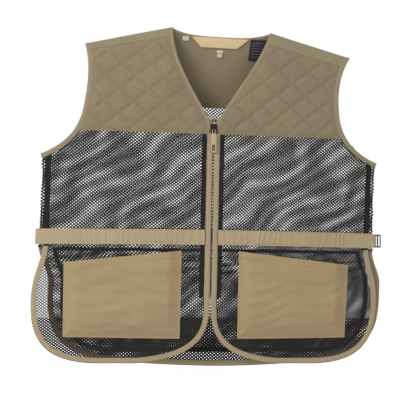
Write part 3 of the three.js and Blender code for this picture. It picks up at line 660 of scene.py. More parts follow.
def front_net_outline(side):
    arm = [(arm_u(v) - NET_TUCK, v) for v in np.linspace(YOKE_DROP - 4, UNDERARM_DROP - 2, 9)]
    seam = [(SEAM_IN + 2, UNDERARM_DROP + 8), (SEAM_IN + 2, VENT_DROP)]
    flap = front_flap_edge[2:] + NET_TUCK * edge_normals(front_flap_edge)[2:]
    edge = FRONT_EDGE + NET_TUCK
    half = np.array([*arm, *seam, *flap, (edge, ZIP_BOTTOM), (edge, YOKE_DROP - 4)])
    return mirrored(half, side)


def wrapped(v):
    """How far the back net reaches round the side seam, measured on across the back."""
    return 2 * side_u(v) - SEAM_OUT + 2


def back_net_outline():
    arm = [(arm_u(v) - NET_TUCK, v) for v in np.linspace(BACK_YOKE_DROP - 4, UNDERARM_DROP - 1, 9)]
    wrap = [(wrapped(v), v) for v in (UNDERARM_DROP + 4, 300, 360, SKIRT_SEAM + 1)]
    return whole(np.array([(0.0, BACK_YOKE_DROP - 4), *arm, *wrap, (0.0, SKIRT_SEAM + 1)]))


def skirt_net_outline():
    wrap = [(wrapped(v), v) for v in (SKIRT_SEAM - 1, VENT_DROP - 1)]
    flap = back_flap_edge[2:] + NET_TUCK * edge_normals(back_flap_edge)[2:]
    return whole(np.array([(0.0, SKIRT_SEAM - 1), *wrap, *flap]))


def strained(u, v):
    """A soft net never hangs quite straight: its rows wander a little, except at its seams."""
    calm = smooth((np.abs(u) - 24) / 50) * smooth((SEAM_IN - np.abs(u)) / 40)
    a = np.sin(0.031 * u + 0.024 * v) + 0.6 * np.sin(0.052 * v - 0.038 * u + 1.0)
    b = np.sin(0.036 * v - 0.021 * u + 2.0) + 0.6 * np.sin(0.047 * u + 0.03 * v)
    return u + 1.1 * a * calm, v + 1.3 * b * calm


front_nets = {side: net(f"front_net_{word}_cloth", front_net_outline(side),
                        lambda u, v: (*strained(u, v), 1.2, FRONT), FRONT_CELL, FRONT_YARN, "black_net",
                        (0, -1, 0), (f"front_net_{word}",), turn_by=-0.03)
              for side, word in SIDES}
back_nets = [net(f"{node}_cloth", outline(), lambda w, v: round_the_side(w, v, 1.2), BACK_CELL,
                 BACK_YARN, "black_net", (0, 1, 0), (node,), turn_by=0.05)
             for node, outline in (("back_net", back_net_outline), ("back_skirt_net", skirt_net_outline))]

# %% [markdown]
# ## The back yoke
#
# The plain khaki back yoke folds forward over the shoulders, and ends on the front in a seam a
# little below them. It is laid as a grid on each shoulder, which starts at that seam, goes over the
# fold and down the back, and one more grid between them below the neck. The three are welded, and
# the cloth gets its thickness as one piece.

# %% Back yoke
FRONT_PART, FOLD_PART, FOLD_END = 0.15, 0.1, 0.25
NECK_TUCK, ARM_TUCK, BACK_YOKE_OUT = 1.5, 2.5, 1.7


def shoulder_grid(side):
    def place(s, t):
        ahead, over = t < FRONT_PART, (t >= FRONT_PART) & (t <= FOLD_END)
        front_share = np.clip(t / FRONT_PART, 0, 1)
        back_share = np.clip((t - FOLD_END) / (1 - FOLD_END), 0, 1)
        u = NECK_HALF + NECK_TUCK + (SHOULDER_HALF - NECK_HALF) * s
        for _ in range(6):
            v_front = forward_seam(u, side) * (1 - front_share) + shoulder_line(u) * front_share
            v_back = shoulder_line(u) * (1 - back_share) + BACK_YOKE_DROP * back_share
            v = np.where(ahead, v_front, v_back)
            inner = np.where(ahead, neck_at(v) + NECK_TUCK, NECK_HALF + NECK_TUCK)
            u = inner + (arm_u(v) - ARM_TUCK - inner) * s
        turn = np.where(ahead, 0.0, np.where(over, (t - FRONT_PART) / FOLD_PART, 1.0))
        return u * side, v, BACK_YOKE_OUT, np.clip(turn, 0, 1), (UP_SHOULDER[0] * side, UP_SHOULDER[1])
    return place


def below_neck(s, t):
    edge = NECK_HALF + NECK_TUCK
    u = edge * (2 * s - 1)
    scoop = np.interp(np.abs(u), np.r_[back_neck_edge[::-1, 0], edge],
                      np.r_[back_neck_edge[::-1, 1] + NECK_TUCK, shoulder_line(edge)])
    return u, scoop * (1 - t) + BACK_YOKE_DROP * t, BACK_YOKE_OUT, BACK, (0, 0)


def make_back_yoke():
    parts = []
    for name, columns, rows, place in (
        ("yoke_left", 34, 40, shoulder_grid(1)), ("yoke_right", 34, 40, shoulder_grid(-1)),
        ("yoke_middle", 40, 30, below_neck),
    ):
        piece, s, t = begin(name, columns, rows)
        where = place(s, t)
        set_coords(piece, lie(*where))
        set_flat(piece, np.stack(np.broadcast_arrays(where[0], where[1]), -1))
        parts.append(piece)
    bpy.ops.object.select_all(action="DESELECT")
    for piece in parts:
        piece.select_set(True)
    bpy.context.view_layer.objects.active = parts[0]
    bpy.ops.object.join()
    yoke = parts[0]
    yoke.name = "back_yoke_cloth"
    weld(yoke, 0.0003, outwards=True)
    face_out(yoke, (0, 1, 0))
    apply_modifier(yoke, "SOLIDIFY", thickness=0.0012, offset=-1)
    apply_modifier(yoke, "BEVEL", width=0.0003, segments=2, limit_method="ANGLE", angle_limit=1.2)
    return finish_piece(yoke, "khaki_plain", ("back_yoke",))


def yoke_seam(s, t):
    """The folded seam allowance that covers the net's cut edge, on the inside."""
    v = BACK_YOKE_DROP - 6 + 6.5 * t
    half = arm_u(v) - ARM_BINDING + 1
    return half * (2 * s - 1), v, -0.15 - 0.1 * np.sin(3.1 * t), BACK, (0, 0)


back_yoke = make_back_yoke()
yoke_fold = panel("back_yoke_seam_fold", 120, 4, yoke_seam, "khaki_plain", 0.4, (0, -1, 0))

# %% [markdown]
# ## The quilted front yokes
#
# Each front yoke is padded and stitched through in large diamonds. Its outer and inner faces are laid
# apart from each other: the outer face rises between the stitch lines and sinks along them, and small
# creases run across the lines, where the stitching has drawn the cloth in.

# %% Quilted yokes
QUILT_RISE = 2.4


def quilt(u, v):
    """Height of the quilting: 0 on the stitch lines and 1 in the middle of a pad."""
    lines = [u / QUILT_ACROSS + sign * v / QUILT_DOWN + QUILT_START for sign in (1, -1)]
    across = [np.abs(a - np.round(a)) * 34.0 for a in lines]
    near = np.minimum(*across)
    pad = 1 - (1 - np.clip(near / 11, 0, 1)) ** 2
    along = np.where(across[0] < across[1], lines[1], lines[0])
    pucker = np.sin(along * 23.0 + 0.8 * np.sin(along * 7)) * np.exp(-near / 5) * smooth(near / 1.2)
    return pad + 0.25 * pucker


def crumple(u, v):
    """Fine soft creases, mostly level, as in washed cotton that has hung folded."""
    a = np.sin(0.21 * v + 0.035 * u + 1.6 * np.sin(0.041 * u + 0.02 * v))
    b = np.sin(0.115 * v - 0.09 * u + 1.9 * np.sin(0.027 * u - 0.05 * v) + 1.0)
    patch = smooth(0.5 + 0.9 * np.sin(0.031 * u + 0.4) * np.sin(0.043 * v + 1.1))
    return (0.6 * a + 0.5 * b) * patch


def yoke_faces(u, v, side):
    """Height of a front yoke's outer and inner face."""
    from_edge = np.minimum.reduce([
        u - neck_at(v) - NECK_BINDING, arm_u(v) - ARM_BINDING - u,
        (v - forward_seam(u, side)) * 1.4, (YOKE_DROP + 1.5 - v) * 1.4])
    rise = smooth(from_edge / 14)
    return 1.5 + rise * (0.3 + QUILT_RISE * quilt(u, v) + 0.4 * crumple(u, v)), 0.4 - 2.6 * rise


def two_layer(name, columns, rows, place, finish, stands_for=()):
    """A closed shell whose place(s, t, outer) gives each face its own height."""
    piece, s, t = begin(name, columns, rows)
    face_out(piece, (0, 0, 1))
    apply_modifier(piece, "SOLIDIFY", thickness=0.001, offset=-1)
    top, bottom = place(s, t, 1.0), place(s, t, 0.0)
    set_coords(piece, np.vstack([lie(*top), lie(*bottom)]))
    flat = np.stack(np.broadcast_arrays(top[0], top[1]), -1)
    set_flat(piece, np.vstack([flat, flat]))
    edit(piece, (bpy.ops.mesh.normals_make_consistent, {"inside": False}))
    return finish_piece(piece, finish, stands_for, angle=60)


def front_yoke(side, word):
    def place(s, t, outer):
        u = NECK_HALF + (SHOULDER_HALF - NECK_HALF) * s
        for _ in range(8):
            v = (forward_seam(u, side) + 0.4) * (1 - t) + (YOKE_DROP + 1.5) * t
            u = neck_at(v) + 2.5 + (arm_u(v) - 3 - neck_at(v) - 2.5) * s
        top, low = yoke_faces(u, v, side)
        return u * side, v, np.where(outer > 0, top, low), FRONT, (0, 0)
    yoke = two_layer(f"front_yoke_{word}_quilt", 110, 90, place, "khaki_quilt",
                     (f"front_yoke_{word}", f"shoulder_pad_{word}"))
    return yoke


front_yokes = [front_yoke(side, word) for side, word in SIDES]

# %% [markdown]
# ## Bindings
#
# Every raw edge is bound with folded tape: the tape wraps the edge and is stitched down through both
# leaves. Its section, a flat loop with a stitch groove near the inner edge, is swept along the edge.
# Where the edge goes over a shoulder or under an arm, the section turns with the fold.

# %% Swept pieces
def tape_section(width, top=2.2, low=-0.4):
    """Distance in from the edge and height, once round a folded tape."""
    middle = (top + low) / 2
    return np.array([
        (width, middle + 0.1), (width - 0.1, top - 0.45), (width - 0.7, top - 0.2), (width - 1.6, top - 0.55),
        (width - 2.6, top - 0.08), (width * 0.45, top), (1.3, top - 0.1), (0.35, top - 0.55), (0.0, middle),
        (0.35, low + 0.5), (1.3, low + 0.1), (width * 0.45, low), (width - 2.6, low),
        (width - 1.6, low + 0.3),
        (width - 0.7, low + 0.1), (width - 0.1, low + 0.35), (width, middle - 0.1)])


def swept(name, path, inward, turn, away, section, finish, stands_for=(), closed=False, wave=0.25):
    """A section swept along a path of the pattern; inward points from the edge into the cloth."""
    count, around = len(path), len(section)
    piece, s, t = begin(name, around, count - 1)
    ring = np.rint(s * around).astype(int) % around
    row = np.rint(t * (count - 1)).astype(int)
    run = np.r_[0, np.cumsum(np.hypot(*np.diff(path, axis=0).T))]
    lap = np.hypot(*np.diff(np.vstack([section, section[:1]]), axis=0).T)
    girth = np.r_[0, np.cumsum(lap)]
    d, out = section[ring, 0], section[ring, 1].copy()
    puckered = wave * np.sin(run[row] * 0.9 + 2 * np.sin(run[row] * 0.11)) * (d > 1.2)
    out = out - np.abs(puckered) * (out > section[:, 1].mean())
    if not closed:
        tip = np.minimum(row, count - 1 - row)
        out = np.where(tip == 0, section[:, 1].mean(), out)
    point = path[row] + inward[row] * d[:, None]
    where = (point[:, 0], point[:, 1], out, turn[row], (away[row, 0], away[row, 1]))
    set_coords(piece, lie(*where))
    set_flat(piece, np.stack([run[row], girth[np.rint(s * around).astype(int)]], -1))
    weld(piece)
    return finish_piece(piece, finish, stands_for, angle=50)


def thread(name, path, inward, turn, away, at, height, pitch=3.2):
    """A row of stitches: a thread that shows for most of each stitch and dips between them.
    height is a number, or a function of the place on the pattern."""
    length = np.hypot(*np.diff(path, axis=0).T).sum()
    steps = int(length / pitch) * 4
    old = np.r_[0, np.cumsum(np.hypot(*np.diff(path, axis=0).T))]
    new = np.linspace(0, old[-1], steps + 1)

    def along(values):
        return np.stack([np.interp(new, old, column) for column in np.asarray(values, float).T], -1)

    path, inward, away = along(path), along(inward), along(away)
    turn = np.interp(new, old, turn)
    piece, s, t = begin(name, 4, steps)
    row = np.rint(t * steps).astype(int)
    angle = 2 * math.pi * (np.rint(s * 4) % 4) / 4
    dip = np.where(row % 4 == 0, -0.75, 0.0)
    point = path[row] + inward[row] * (at + 0.28 * np.cos(angle))[:, None]
    level = height(np.abs(point[:, 0]), point[:, 1]) if callable(height) else height
    out = level + dip + 0.24 * np.sin(angle)
    set_coords(piece, lie(point[:, 0], point[:, 1], out, turn[row], (away[row, 0], away[row, 1])))
    set_flat(piece, np.stack([new[row], angle], -1))
    weld(piece)
    return finish_piece(piece, "tan_thread", angle=80)


def join_into(piece, *extras):
    """Makes the extras part of the piece, with their own finish."""
    bpy.ops.object.select_all(action="DESELECT")
    for extra in extras:
        extra.select_set(True)
    piece.select_set(True)
    bpy.context.view_layer.objects.active = piece
    bpy.ops.object.join()
    return piece


def bound(name, path, inward, turn, away, width, finish, stands_for, closed=False):
    tape = swept(name, path, inward, turn, away, tape_section(width), finish, stands_for, closed)
    row = thread(f"{name}_stitches", path, inward, turn, away, width - 1.6, 1.72)
    return join_into(tape, row)


def flat_path(points, sign, step=4.0, turn=FRONT):
    path, _ = resampled(points, step)
    return path, edge_normals(path, sign), np.full(len(path), turn), np.zeros((len(path), 2))


# %% Bindings
def fold_between(before, after, normal_before, normal_after, away, steps=7):
    """Samples round a fold at one place of the edge."""
    share = np.linspace(0, 1, steps + 2)[1:-1, None]
    normal = normal_before * (1 - share) + normal_after * share
    normal /= np.hypot(*normal.T)[:, None]
    path = before * (1 - share) + after * share
    return path, normal, share[:, 0], np.repeat([away], steps, axis=0)


def chain(*parts):
    return [np.concatenate([part[k] for part in parts]) for k in range(4)]


def neck_run():
    path, _ = resampled(neck_edge[::-1], 4.0)
    normal = edge_normals(path, 1.0)
    left = (path, normal, np.full(len(path), FRONT), np.zeros((len(path), 2)))
    behind, _ = resampled(whole(back_neck_edge), 4.0)
    normal_behind = edge_normals(behind, -1.0)
    back = (behind, normal_behind, np.full(len(behind), BACK), np.zeros((len(behind), 2)))
    right = tuple(np.array(a) for a in (
        mirrored(path, -1)[::-1], mirrored(normal, -1)[::-1], left[2], left[3]))
    over_left = fold_between(path[-1], behind[0], normal[-1], normal_behind[0], UP_SHOULDER)
    over_right = fold_between(right[0][0], behind[-1], right[1][0], normal_behind[-1],
                              (-UP_SHOULDER[0], UP_SHOULDER[1]))
    over_right = (over_right[0][::-1], over_right[1][::-1], over_right[2][::-1], over_right[3])
    return chain(left, over_left, back, over_right, right)


def arm_run(side):
    path, at = resampled(arm_edge, 4.0)
    normal = edge_normals(path, 1.0)
    top_normal, low_normal = np.array((-0.970, -0.243)), np.array((-0.243, 0.970))
    near_top, near_low = smooth(1 - at / 16)[:, None], smooth(1 - (at[-1] - at) / 14)[:, None]
    normal = normal * (1 - near_top) + top_normal * near_top
    normal = normal * (1 - near_low) + low_normal * near_low
    normal /= np.hypot(*normal.T)[:, None]
    path, normal = mirrored(path, side), mirrored(normal, side)
    still = np.zeros((len(path), 2))
    down = (path, normal, np.full(len(path), FRONT), still)
    up = (path[::-1], normal[::-1], np.full(len(path), BACK), still)
    under = fold_between(path[-1], path[-1], normal[-1], normal[-1], (0.92 * side, 0.39))
    over = fold_between(path[0], path[0], normal[0], normal[0], (UP_SHOULDER[0] * side, UP_SHOULDER[1]))
    over = (over[0], over[1], over[2][::-1], over[3])
    run = chain(down, under, up, over)
    return [np.concatenate([column, column[:1]]) for column in run]


neck_binding = bound("neck_binding_tape", *neck_run(), NECK_BINDING, "edge_tape", ("neck_binding",))
arm_bindings = [bound(f"armhole_binding_{word}_tape", *arm_run(side), ARM_BINDING, "edge_tape",
                      (f"armhole_binding_{word}",), closed=True)
                for side, word in SIDES]
zip_side = front_edge - (FRONT_EDGE - 1.75, 0)
front_bindings = {side: bound(f"front_binding_{word}_tape", *flat_path(mirrored(zip_side, side), side),
                              FRONT_BINDING, "binding_tape", (f"front_binding_{word}",))
                  for side, word in SIDES}
hem_binding = bound("back_hem_binding_tape", *flat_path(whole(back_flap_edge), 1.0, turn=BACK),
                    HEM_BINDING, "binding_tape", ("back_hem_binding",))

# %% [markdown]
# ## Quilting stitches
#
# The diamonds are held by rows of tan stitching through both faces and the wadding. Each row follows
# one slanting line of the quilt from edge to edge of the yoke, in the valley between two pads.

# %% Quilting and seam stitches
def gather_up(name, parts):
    """Joins single pieces into one, under one name."""
    piece = join_into(parts[0], *parts[1:])
    piece.name = name
    return piece


def row_of(name, points, side, at=0.0, height=0.0, sign=1.0, turn=FRONT, step=3.0):
    path, _ = resampled(np.asarray(points, float), step)
    path = mirrored(path, side)
    still = np.zeros((len(path), 2))
    return thread(name, path, edge_normals(path, sign * side), np.full(len(path), turn), still, at, height)


def quilt_rows(side, word):
    rows = []
    v = np.arange(20.0, YOKE_DROP, 1.0)
    for sign in (1, -1):
        for k in range(-6, 12):
            u = QUILT_ACROSS * (k - QUILT_START - sign * v / QUILT_DOWN)
            clear = ((u > neck_at(v) + NECK_BINDING + 2) & (u < arm_u(v) - ARM_BINDING - 2)
                     & (v > forward_seam(u, side) + 2) & (v < YOKE_DROP - 2))
            if clear.sum() > 8:
                rows.append(row_of(f"row_{sign}_{k}", np.stack([u[clear], v[clear]], -1), side,
                                   height=lambda a, b: yoke_faces(a, b, side)[0] + 0.1))
    below = [(u, YOKE_DROP - 2.2) for u in (FRONT_EDGE + 7, arm_u(YOKE_DROP) - ARM_BINDING)]
    rows.append(row_of("row_below", below, side, height=lambda a, b: yoke_faces(a, b, side)[0] + 0.1))
    return gather_up(f"quilt_stitches_{word}", rows)


quilt_stitches = [quilt_rows(side, word) for side, word in SIDES]
print(len(quilt_stitches), "sets of quilting stitches")

# %% [markdown]
# ## Flat tapes
#
# Black tape covers the side seams, a black stay tape strengthens the net beside each front binding,
# and the zip is woven into tan tapes of its own. All are plain narrow strips, laid as thin panels.

# %% Tapes
def tape(name, side, across, down, out, finish, thick, stands_for=()):
    def place(s, t):
        u = across[0] + (across[1] - across[0]) * s
        waver = 0.15 * np.sin(down[0] + 9 * t)
        return side * u, down[0] + (down[1] - down[0]) * t, out + waver, FRONT, (0, 0)
    return panel(name, 4, 80, place, finish, thick, (0, -1, 0), stands_for)


ZIP_TAPE_HALF, STAY_IN, STAY_WIDTH = 12.7, 12.6, 8
tapes = {side: [
    tape(f"side_seam_{word}_tape", side, (SEAM_IN, SEAM_OUT), (UNDERARM_DROP - 3, VENT_DROP), 1.5,
         "black_tape", 0.8, (f"side_seam_tape_{word}",)),
    tape(f"stay_{word}_tape", side, (STAY_IN, STAY_IN + STAY_WIDTH), (YOKE_DROP + 2, ZIP_BOTTOM), -0.4,
         "black_tape", 0.7, (f"stay_tape_{word}",)),
    tape(f"zip_tape_{word}_cloth", side, (1.2, ZIP_TAPE_HALF - 0.3), (ZIP_TOP - 8, ZIP_BOTTOM + 8), -0.85,
         "zip_tape", 0.7, (f"zip_tape_{word}",)),
] for side, word in SIDES}

# %% [markdown]
# ## The zip
#
# The teeth are two wire coils, each sewn to its tape and half a turn apart, so that their loops lock.
# A grid as long as the whole wire is wound into a flattened helix. Small blocks close the zip above
# and below. The slider and its pull keep their CAD shape, with every edge rounded.

# %% Coils and stops
COIL_PITCH, COIL_WIRE, COIL_ROUND = 1.5, 0.30, 12


def coil(side, word):
    top = ZIP_TOP + 12
    turns = int((ZIP_BOTTOM - top) / COIL_PITCH)
    steps = COIL_ROUND * turns
    piece, s, t = begin(f"zip_coil_{word}_wire", 5, steps)
    row = np.rint(t * steps)
    angle = 2 * math.pi * (np.rint(s * 5) % 5) / 5
    wind = 2 * math.pi * row / COIL_ROUND
    wire = np.where((row == 0) | (row == steps), 0.0, COIL_WIRE)
    slope = np.hypot(0.8 * np.cos(wind), 0.43 * np.sin(wind))
    u = 0.88 + 0.43 * np.cos(wind) + wire * np.cos(angle) * 0.8 * np.cos(wind) / slope
    out = 0.75 + 0.8 * np.sin(wind) + wire * np.cos(angle) * 0.43 * np.sin(wind) / slope
    v = top + COIL_PITCH * (wind / (2 * math.pi) + (0.5 if side < 0 else 0)) + wire * np.sin(angle)
    set_coords(piece, lie(side * u, np.minimum(v, ZIP_BOTTOM), out))
    set_flat(piece, np.stack([u, v], -1))
    weld(piece, 0.00001)
    return finish_piece(piece, "zip_coil", (f"zip_coil_{word}",), angle=70)


def block(name, across, down, layer, finish, round_by, stands_for):
    """A small solid on the front, made on the flat pattern, its edges rounded, and then hung."""
    bpy.ops.object.select_all(action="DESELECT")
    bpy.ops.mesh.primitive_cube_add(size=1)
    piece = bpy.context.object
    piece.name = name
    low, high = np.array([across, layer, down], float).T
    set_coords(piece, (low + (high - low) * (coords(piece) + 0.5)) * MM)
    edit(piece, (bpy.ops.mesh.subdivide, {"number_cuts": 2}))
    apply_modifier(piece, "BEVEL", width=round_by * MM, segments=3, limit_method="ANGLE", angle_limit=1.0)
    flat = coords(piece) / MM
    set_coords(piece, lie(flat[:, 0], flat[:, 2], flat[:, 1]))
    weld(piece, 0.000001)
    return finish_piece(piece, finish, (stands_for,), angle=50)


for side, word in SIDES:
    coil(side, word)
for side, word in SIDES:
    block(f"zip_stop_{word}", sorted((0.8 * side, 4.2 * side)), (ZIP_TOP - 6, ZIP_TOP - 2), (-0.4, 1.4),
          "zip_metal", 0.5, f"zip_top_stop_{word}")
ZIP_END_TOP, ZIP_BOX_FOOT, ZIP_PIN_FOOT = ZIP_BOTTOM + 0.3, ZIP_BOTTOM + 12.3, ZIP_BOTTOM + 9.3
block("zip_end_box", (-0.4, 1.9), (ZIP_END_TOP, ZIP_BOX_FOOT), (-0.4, 2.0), "zip_end", 0.4, "zip_box")
block("zip_end_pin", (-1.9, -0.7), (ZIP_END_TOP, ZIP_PIN_FOOT), (-0.4, 1.6), "zip_end", 0.3, "zip_pin")


# %% Slider and pull
def rounded(node, finish, round_by, body):
    """A copy of a hard CAD piece, welded and with rounded edges."""
    only(nodes[node])
    bpy.ops.object.duplicate()
    piece = bpy.context.object
    piece.name = f"{node}_rounded"
    bpy.ops.object.parent_clear(type="CLEAR_KEEP_TRANSFORM")
    bpy.ops.object.transform_apply(location=True, rotation=True, scale=True)
    edit(piece, (bpy.ops.mesh.remove_doubles, {"threshold": 0.00001}))
    apply_modifier(piece, "BEVEL", width=round_by * MM, segments=3, limit_method="ANGLE", angle_limit=0.6)
    return finish_piece(piece, finish, (node,), body=body, angle=35)


rounded("zip_slider", "zip_metal", 0.5, "slider")
rounded("zip_slider_rear_wing", "zip_metal", 0.35, "slider")
rounded("zip_pull", "zip_pull", 0.3, "pull")

# %% [markdown]
# ## The waist belt
#
# The belt is a band of tan cloth, gathered on the front so that it puckers in fine upright folds. It
# ends in plain tabs at the sides. The wearer's right tab turns round the side seam to the back, where
# the webbing loop of its buckle is sewn; the left buckle hangs at the side seam.

# %% Belt
BELT_TOP = VENT_DROP - BELT_ABOVE_VENT - BELT_HEIGHT - BELT_SAG
BELT_JOIN = CHEST_HALF - BELT_END_LENGTH
BELT_START = FRONT_EDGE + FRONT_BINDING + 0.3


def belt_line(u):
    return BELT_TOP + BELT_HEIGHT / 2 + BELT_SAG * (u / CHEST_HALF) ** 2


def gathers(u, t, seed):
    """Fine upright puckers, closer and deeper in places."""
    wander = (2.1 * np.sin(0.09 * u + seed) + 1.2 * np.sin(0.21 * u + 2 * seed)
              + 0.9 * np.sin(2.6 * t + 0.05 * u))
    strength = 0.6 + 0.4 * np.sin(0.047 * u + seed) * (1 - np.exp(-u / 90)) + 0.35 * np.exp(-u / 60)
    broad, fine = np.sin(0.47 * u + 0.8 * t + wander), np.sin(1.25 * u + 1.6 * wander + seed)
    return strength * (broad + 0.35 * fine) * (1 - 0.5 * np.abs(2 * t - 1))


def belt_face(u, v, seed, depth_of):
    """Height of the belt's outer face."""
    t = (v - belt_line(u)) / BELT_HEIGHT + 0.5
    seam = np.exp(-((t - 0.88) * BELT_HEIGHT / 1.3) ** 2) + np.exp(-((t - 0.1) * BELT_HEIGHT / 1.3) ** 2)
    return 3.6 + depth_of * gathers(u, t, seed) - 0.5 * seam


def belt_piece(name, side, run, columns, face, turn, stands_for):
    def place(s, t):
        u = run[0] + (run[1] - run[0]) * s
        ripple = 0.35 * np.sin(0.9 * u + 2.2 * np.sin(0.13 * u)) * np.abs(2 * t - 1)
        v = belt_line(u) + BELT_HEIGHT * (t - 0.5) + ripple
        return side * u, v, face(np.abs(u), v), turn, (0, 0)
    return panel(name, columns, 20, place, "belt_cloth", 0.9, (0, -1 if turn == FRONT else 1, 0), stands_for)


def belt_rows(name, side, run, face, turn):
    rows = []
    for k, share in enumerate((0.1, 0.88)):
        line = [(u, belt_line(u) + BELT_HEIGHT * (share - 0.5)) for u in np.linspace(*run, 40)]
        rows.append(row_of(f"{name}_{k}", line, side, height=lambda a, b: face(a, b) + 0.12, turn=turn))
    return gather_up(name, rows)


def front_face(side):
    return lambda u, v: belt_face(u, v, 0.7 + 1.9 * side, 0.75)


def back_face(u, v):
    return belt_face(u, v, 4.0, 0.35)


def flat_face(u, v):
    return 3.75 + 0.15 * np.sin(0.2 * u + 0.1 * v)


belts = {side: [belt_piece(f"belt_front_{word}_cloth", side, (BELT_START, BELT_JOIN + 1), 360,
                           front_face(side), FRONT, (f"belt_front_{word}",)),
                belt_rows(f"belt_stitches_{word}", side, (BELT_START + 1, BELT_JOIN - 1),
                          front_face(side), FRONT)]
         for side, word in SIDES}
belts[1].append(belt_piece("belt_end_left_cloth", 1, (BELT_JOIN, CHEST_HALF), 60, flat_face, FRONT,
                           ("belt_end_left",)))
back_belt = [belt_piece("belt_back_cloth", 1, (CHEST_HALF - 14, -(CHEST_HALF - 62)), 420, back_face, BACK,
                        ("belt_back",)),
             *[belt_rows(f"belt_back_stitches_{word}", side, (1, CHEST_HALF - (15 if side > 0 else 63)),
                         back_face, BACK) for side, word in SIDES]]


# %% The belt end that turns round the side
def turned_end(s, t):
    fold_at, fold_run, behind = CHEST_HALF + 3, 9.0, 29.0
    front_run = fold_at - BELT_JOIN
    w = (front_run + fold_run + behind) * s
    past = w - front_run
    u = np.where(past < 0, BELT_JOIN + w, np.where(past > fold_run, fold_at - (past - fold_run), fold_at))
    v = belt_line(u) + BELT_HEIGHT * (t - 0.5)
    return -u, v, flat_face(u, v), np.clip(past / fold_run, 0, 1), (-1, 0)


belts[-1].append(panel("belt_end_right_cloth", 110, 16, turned_end, "belt_cloth", 0.9, (-1, 0, 0),
                       ("belt_end_right",)))


# %% Webbing loops
STRAP_HEIGHT, STRAP_THICK, LOOP_INNER = 18, 1.4, 1.8


def webbing_loop(word, bar, heading, behind):
    """A strap that goes round the buckle's hinge bar and back, bar being its place in millimetres."""
    piece, s, t = begin(f"buckle_loop_{word}_webbing", 36, 8)
    radius, ahead = LOOP_INNER + STRAP_THICK - 0.05, 0.8
    leg, bend = behind + ahead, math.pi * (LOOP_INNER + STRAP_THICK)
    w = (2 * leg + bend) * s
    angle = np.clip((w - leg) / bend, 0, 1) * math.pi
    x = np.where(w < leg, w - behind, np.where(w > leg + bend, ahead - (w - leg - bend), ahead))
    x, y = x + radius * np.sin(angle), -radius * np.cos(angle)
    c, d = math.cos(heading), math.sin(heading)
    z = STRAP_HEIGHT * (0.5 - t)
    set_coords(piece, np.stack([bar[0] + c * x - d * y, bar[1] + d * x + c * y, bar[2] + z], -1) * MM)
    set_flat(piece, np.stack([w, z], -1))
    face_out(piece, (c, d, 0))
    apply_modifier(piece, "SOLIDIFY", thickness=1.2 * MM, offset=-1)
    apply_modifier(piece, "BEVEL", width=0.0003, segments=2, limit_method="ANGLE", angle_limit=1.2)
    return finish_piece(piece, "belt_cloth", (f"buckle_loop_{word}",))


left_edge = CHEST_HALF + 0.3 + 1.2 + LOOP_INNER - 0.1
left_x, left_z = hang(left_edge, belt_line(left_edge), 0)
rest = CHEST_HALF - 40
right_x, right_z = hang(-rest, belt_line(rest), 1)
stand = depth(rest, VENT_DROP)
rise = depth(rest - STRAP_HEIGHT, VENT_DROP) - stand
left_bar = (left_x, 0, left_z)
right_bar = (right_x, stand + BELT_LAYER + LOOP_INNER + STRAP_THICK + 0.9, right_z)
right_heading = math.atan2(rise, STRAP_HEIGHT)
webbing_loop("left", left_bar, 0, left_edge - CHEST_HALF - 0.9)
webbing_loop("right", right_bar, right_heading, 9)

# %% [markdown]
# ## Buckles
#
# Each buckle is a flat moulded frame with two slots. A small grid has its lines where the bars begin
# and end; the faces of the slots are deleted, the outer corners are rounded, and Solidify and Bevel
# turn it into a moulding. It is then turned to the way its hinge bar faces.

# %% Buckle frames
BUCKLE_ACROSS = np.array([-1.2, 1.2, 5.4, 7.8, 10.4, 12.4])
BUCKLE_HIGH = np.array([-12.1, -9.6, 9.6, 12.1])
BUCKLE_THICK, BUCKLE_ROUND = 2.4, 2.0


def select_only(piece, kind, chosen):
    """Selects these faces or vertices and no others."""
    edit(piece, (bpy.ops.mesh.select_mode, {"type": "FACE" if kind == "polygons" else "VERT"}),
         select="DESELECT")
    getattr(piece.data, kind).foreach_set("select", chosen)
    if kind == "vertices":
        piece.data.polygons.foreach_set("select", np.zeros(len(piece.data.polygons), bool))


def buckle(word, bar, heading):
    piece, s, t = begin(f"buckle_{word}_frame", 5, 3)
    x, z = BUCKLE_ACROSS[np.rint(s * 5).astype(int)], BUCKLE_HIGH[np.rint(3 - t * 3).astype(int)]
    set_coords(piece, np.stack([x, z, 0 * x], -1) * MM)
    middle = np.array([face.center[:2] for face in piece.data.polygons]) / MM
    slots = (np.abs(middle[:, 1]) < 9) & (np.isclose(middle[:, 0], 3.3) | np.isclose(middle[:, 0], 9.1))
    select_only(piece, "polygons", slots)
    edit(piece, (bpy.ops.mesh.delete, {"type": "FACE"}), select=None)
    at = coords(piece) / MM
    select_only(piece, "vertices", (at[:, 0] > 12) & (np.abs(at[:, 1]) > 12))
    edit(piece, (bpy.ops.mesh.bevel, {"offset": BUCKLE_ROUND * MM, "segments": 6, "affect": "VERTICES"}),
         select=None)
    apply_modifier(piece, "SOLIDIFY", thickness=BUCKLE_THICK * MM, offset=0)
    apply_modifier(piece, "BEVEL", width=0.5 * MM, segments=3, limit_method="ANGLE", angle_limit=0.8)
    x, z, y = (coords(piece) / MM).T
    c, d = math.cos(heading), math.sin(heading)
    set_coords(piece, np.stack([bar[0] + c * x + d * y, bar[1] + d * x - c * y, bar[2] + z], -1) * MM)
    return finish_piece(piece, "black_plastic", (f"buckle_{word}",), body=f"buckle_{word}", angle=35)


for word, bar, heading in (("left", left_bar, 0), ("right", right_bar, right_heading)):
    frame_piece = buckle(word, bar, heading)
    print(frame_piece.name, len(frame_piece.data.polygons), "faces")

# %% [markdown]
# ## Pockets
#
# Each front pocket is one piece of tan cloth, sewn down round three sides and open along its slanting
# top, which has a hem. It is laid as a grid that rises softly from its seams, with a few level folds,
# and a row of stitches runs 5 mm inside the seams.

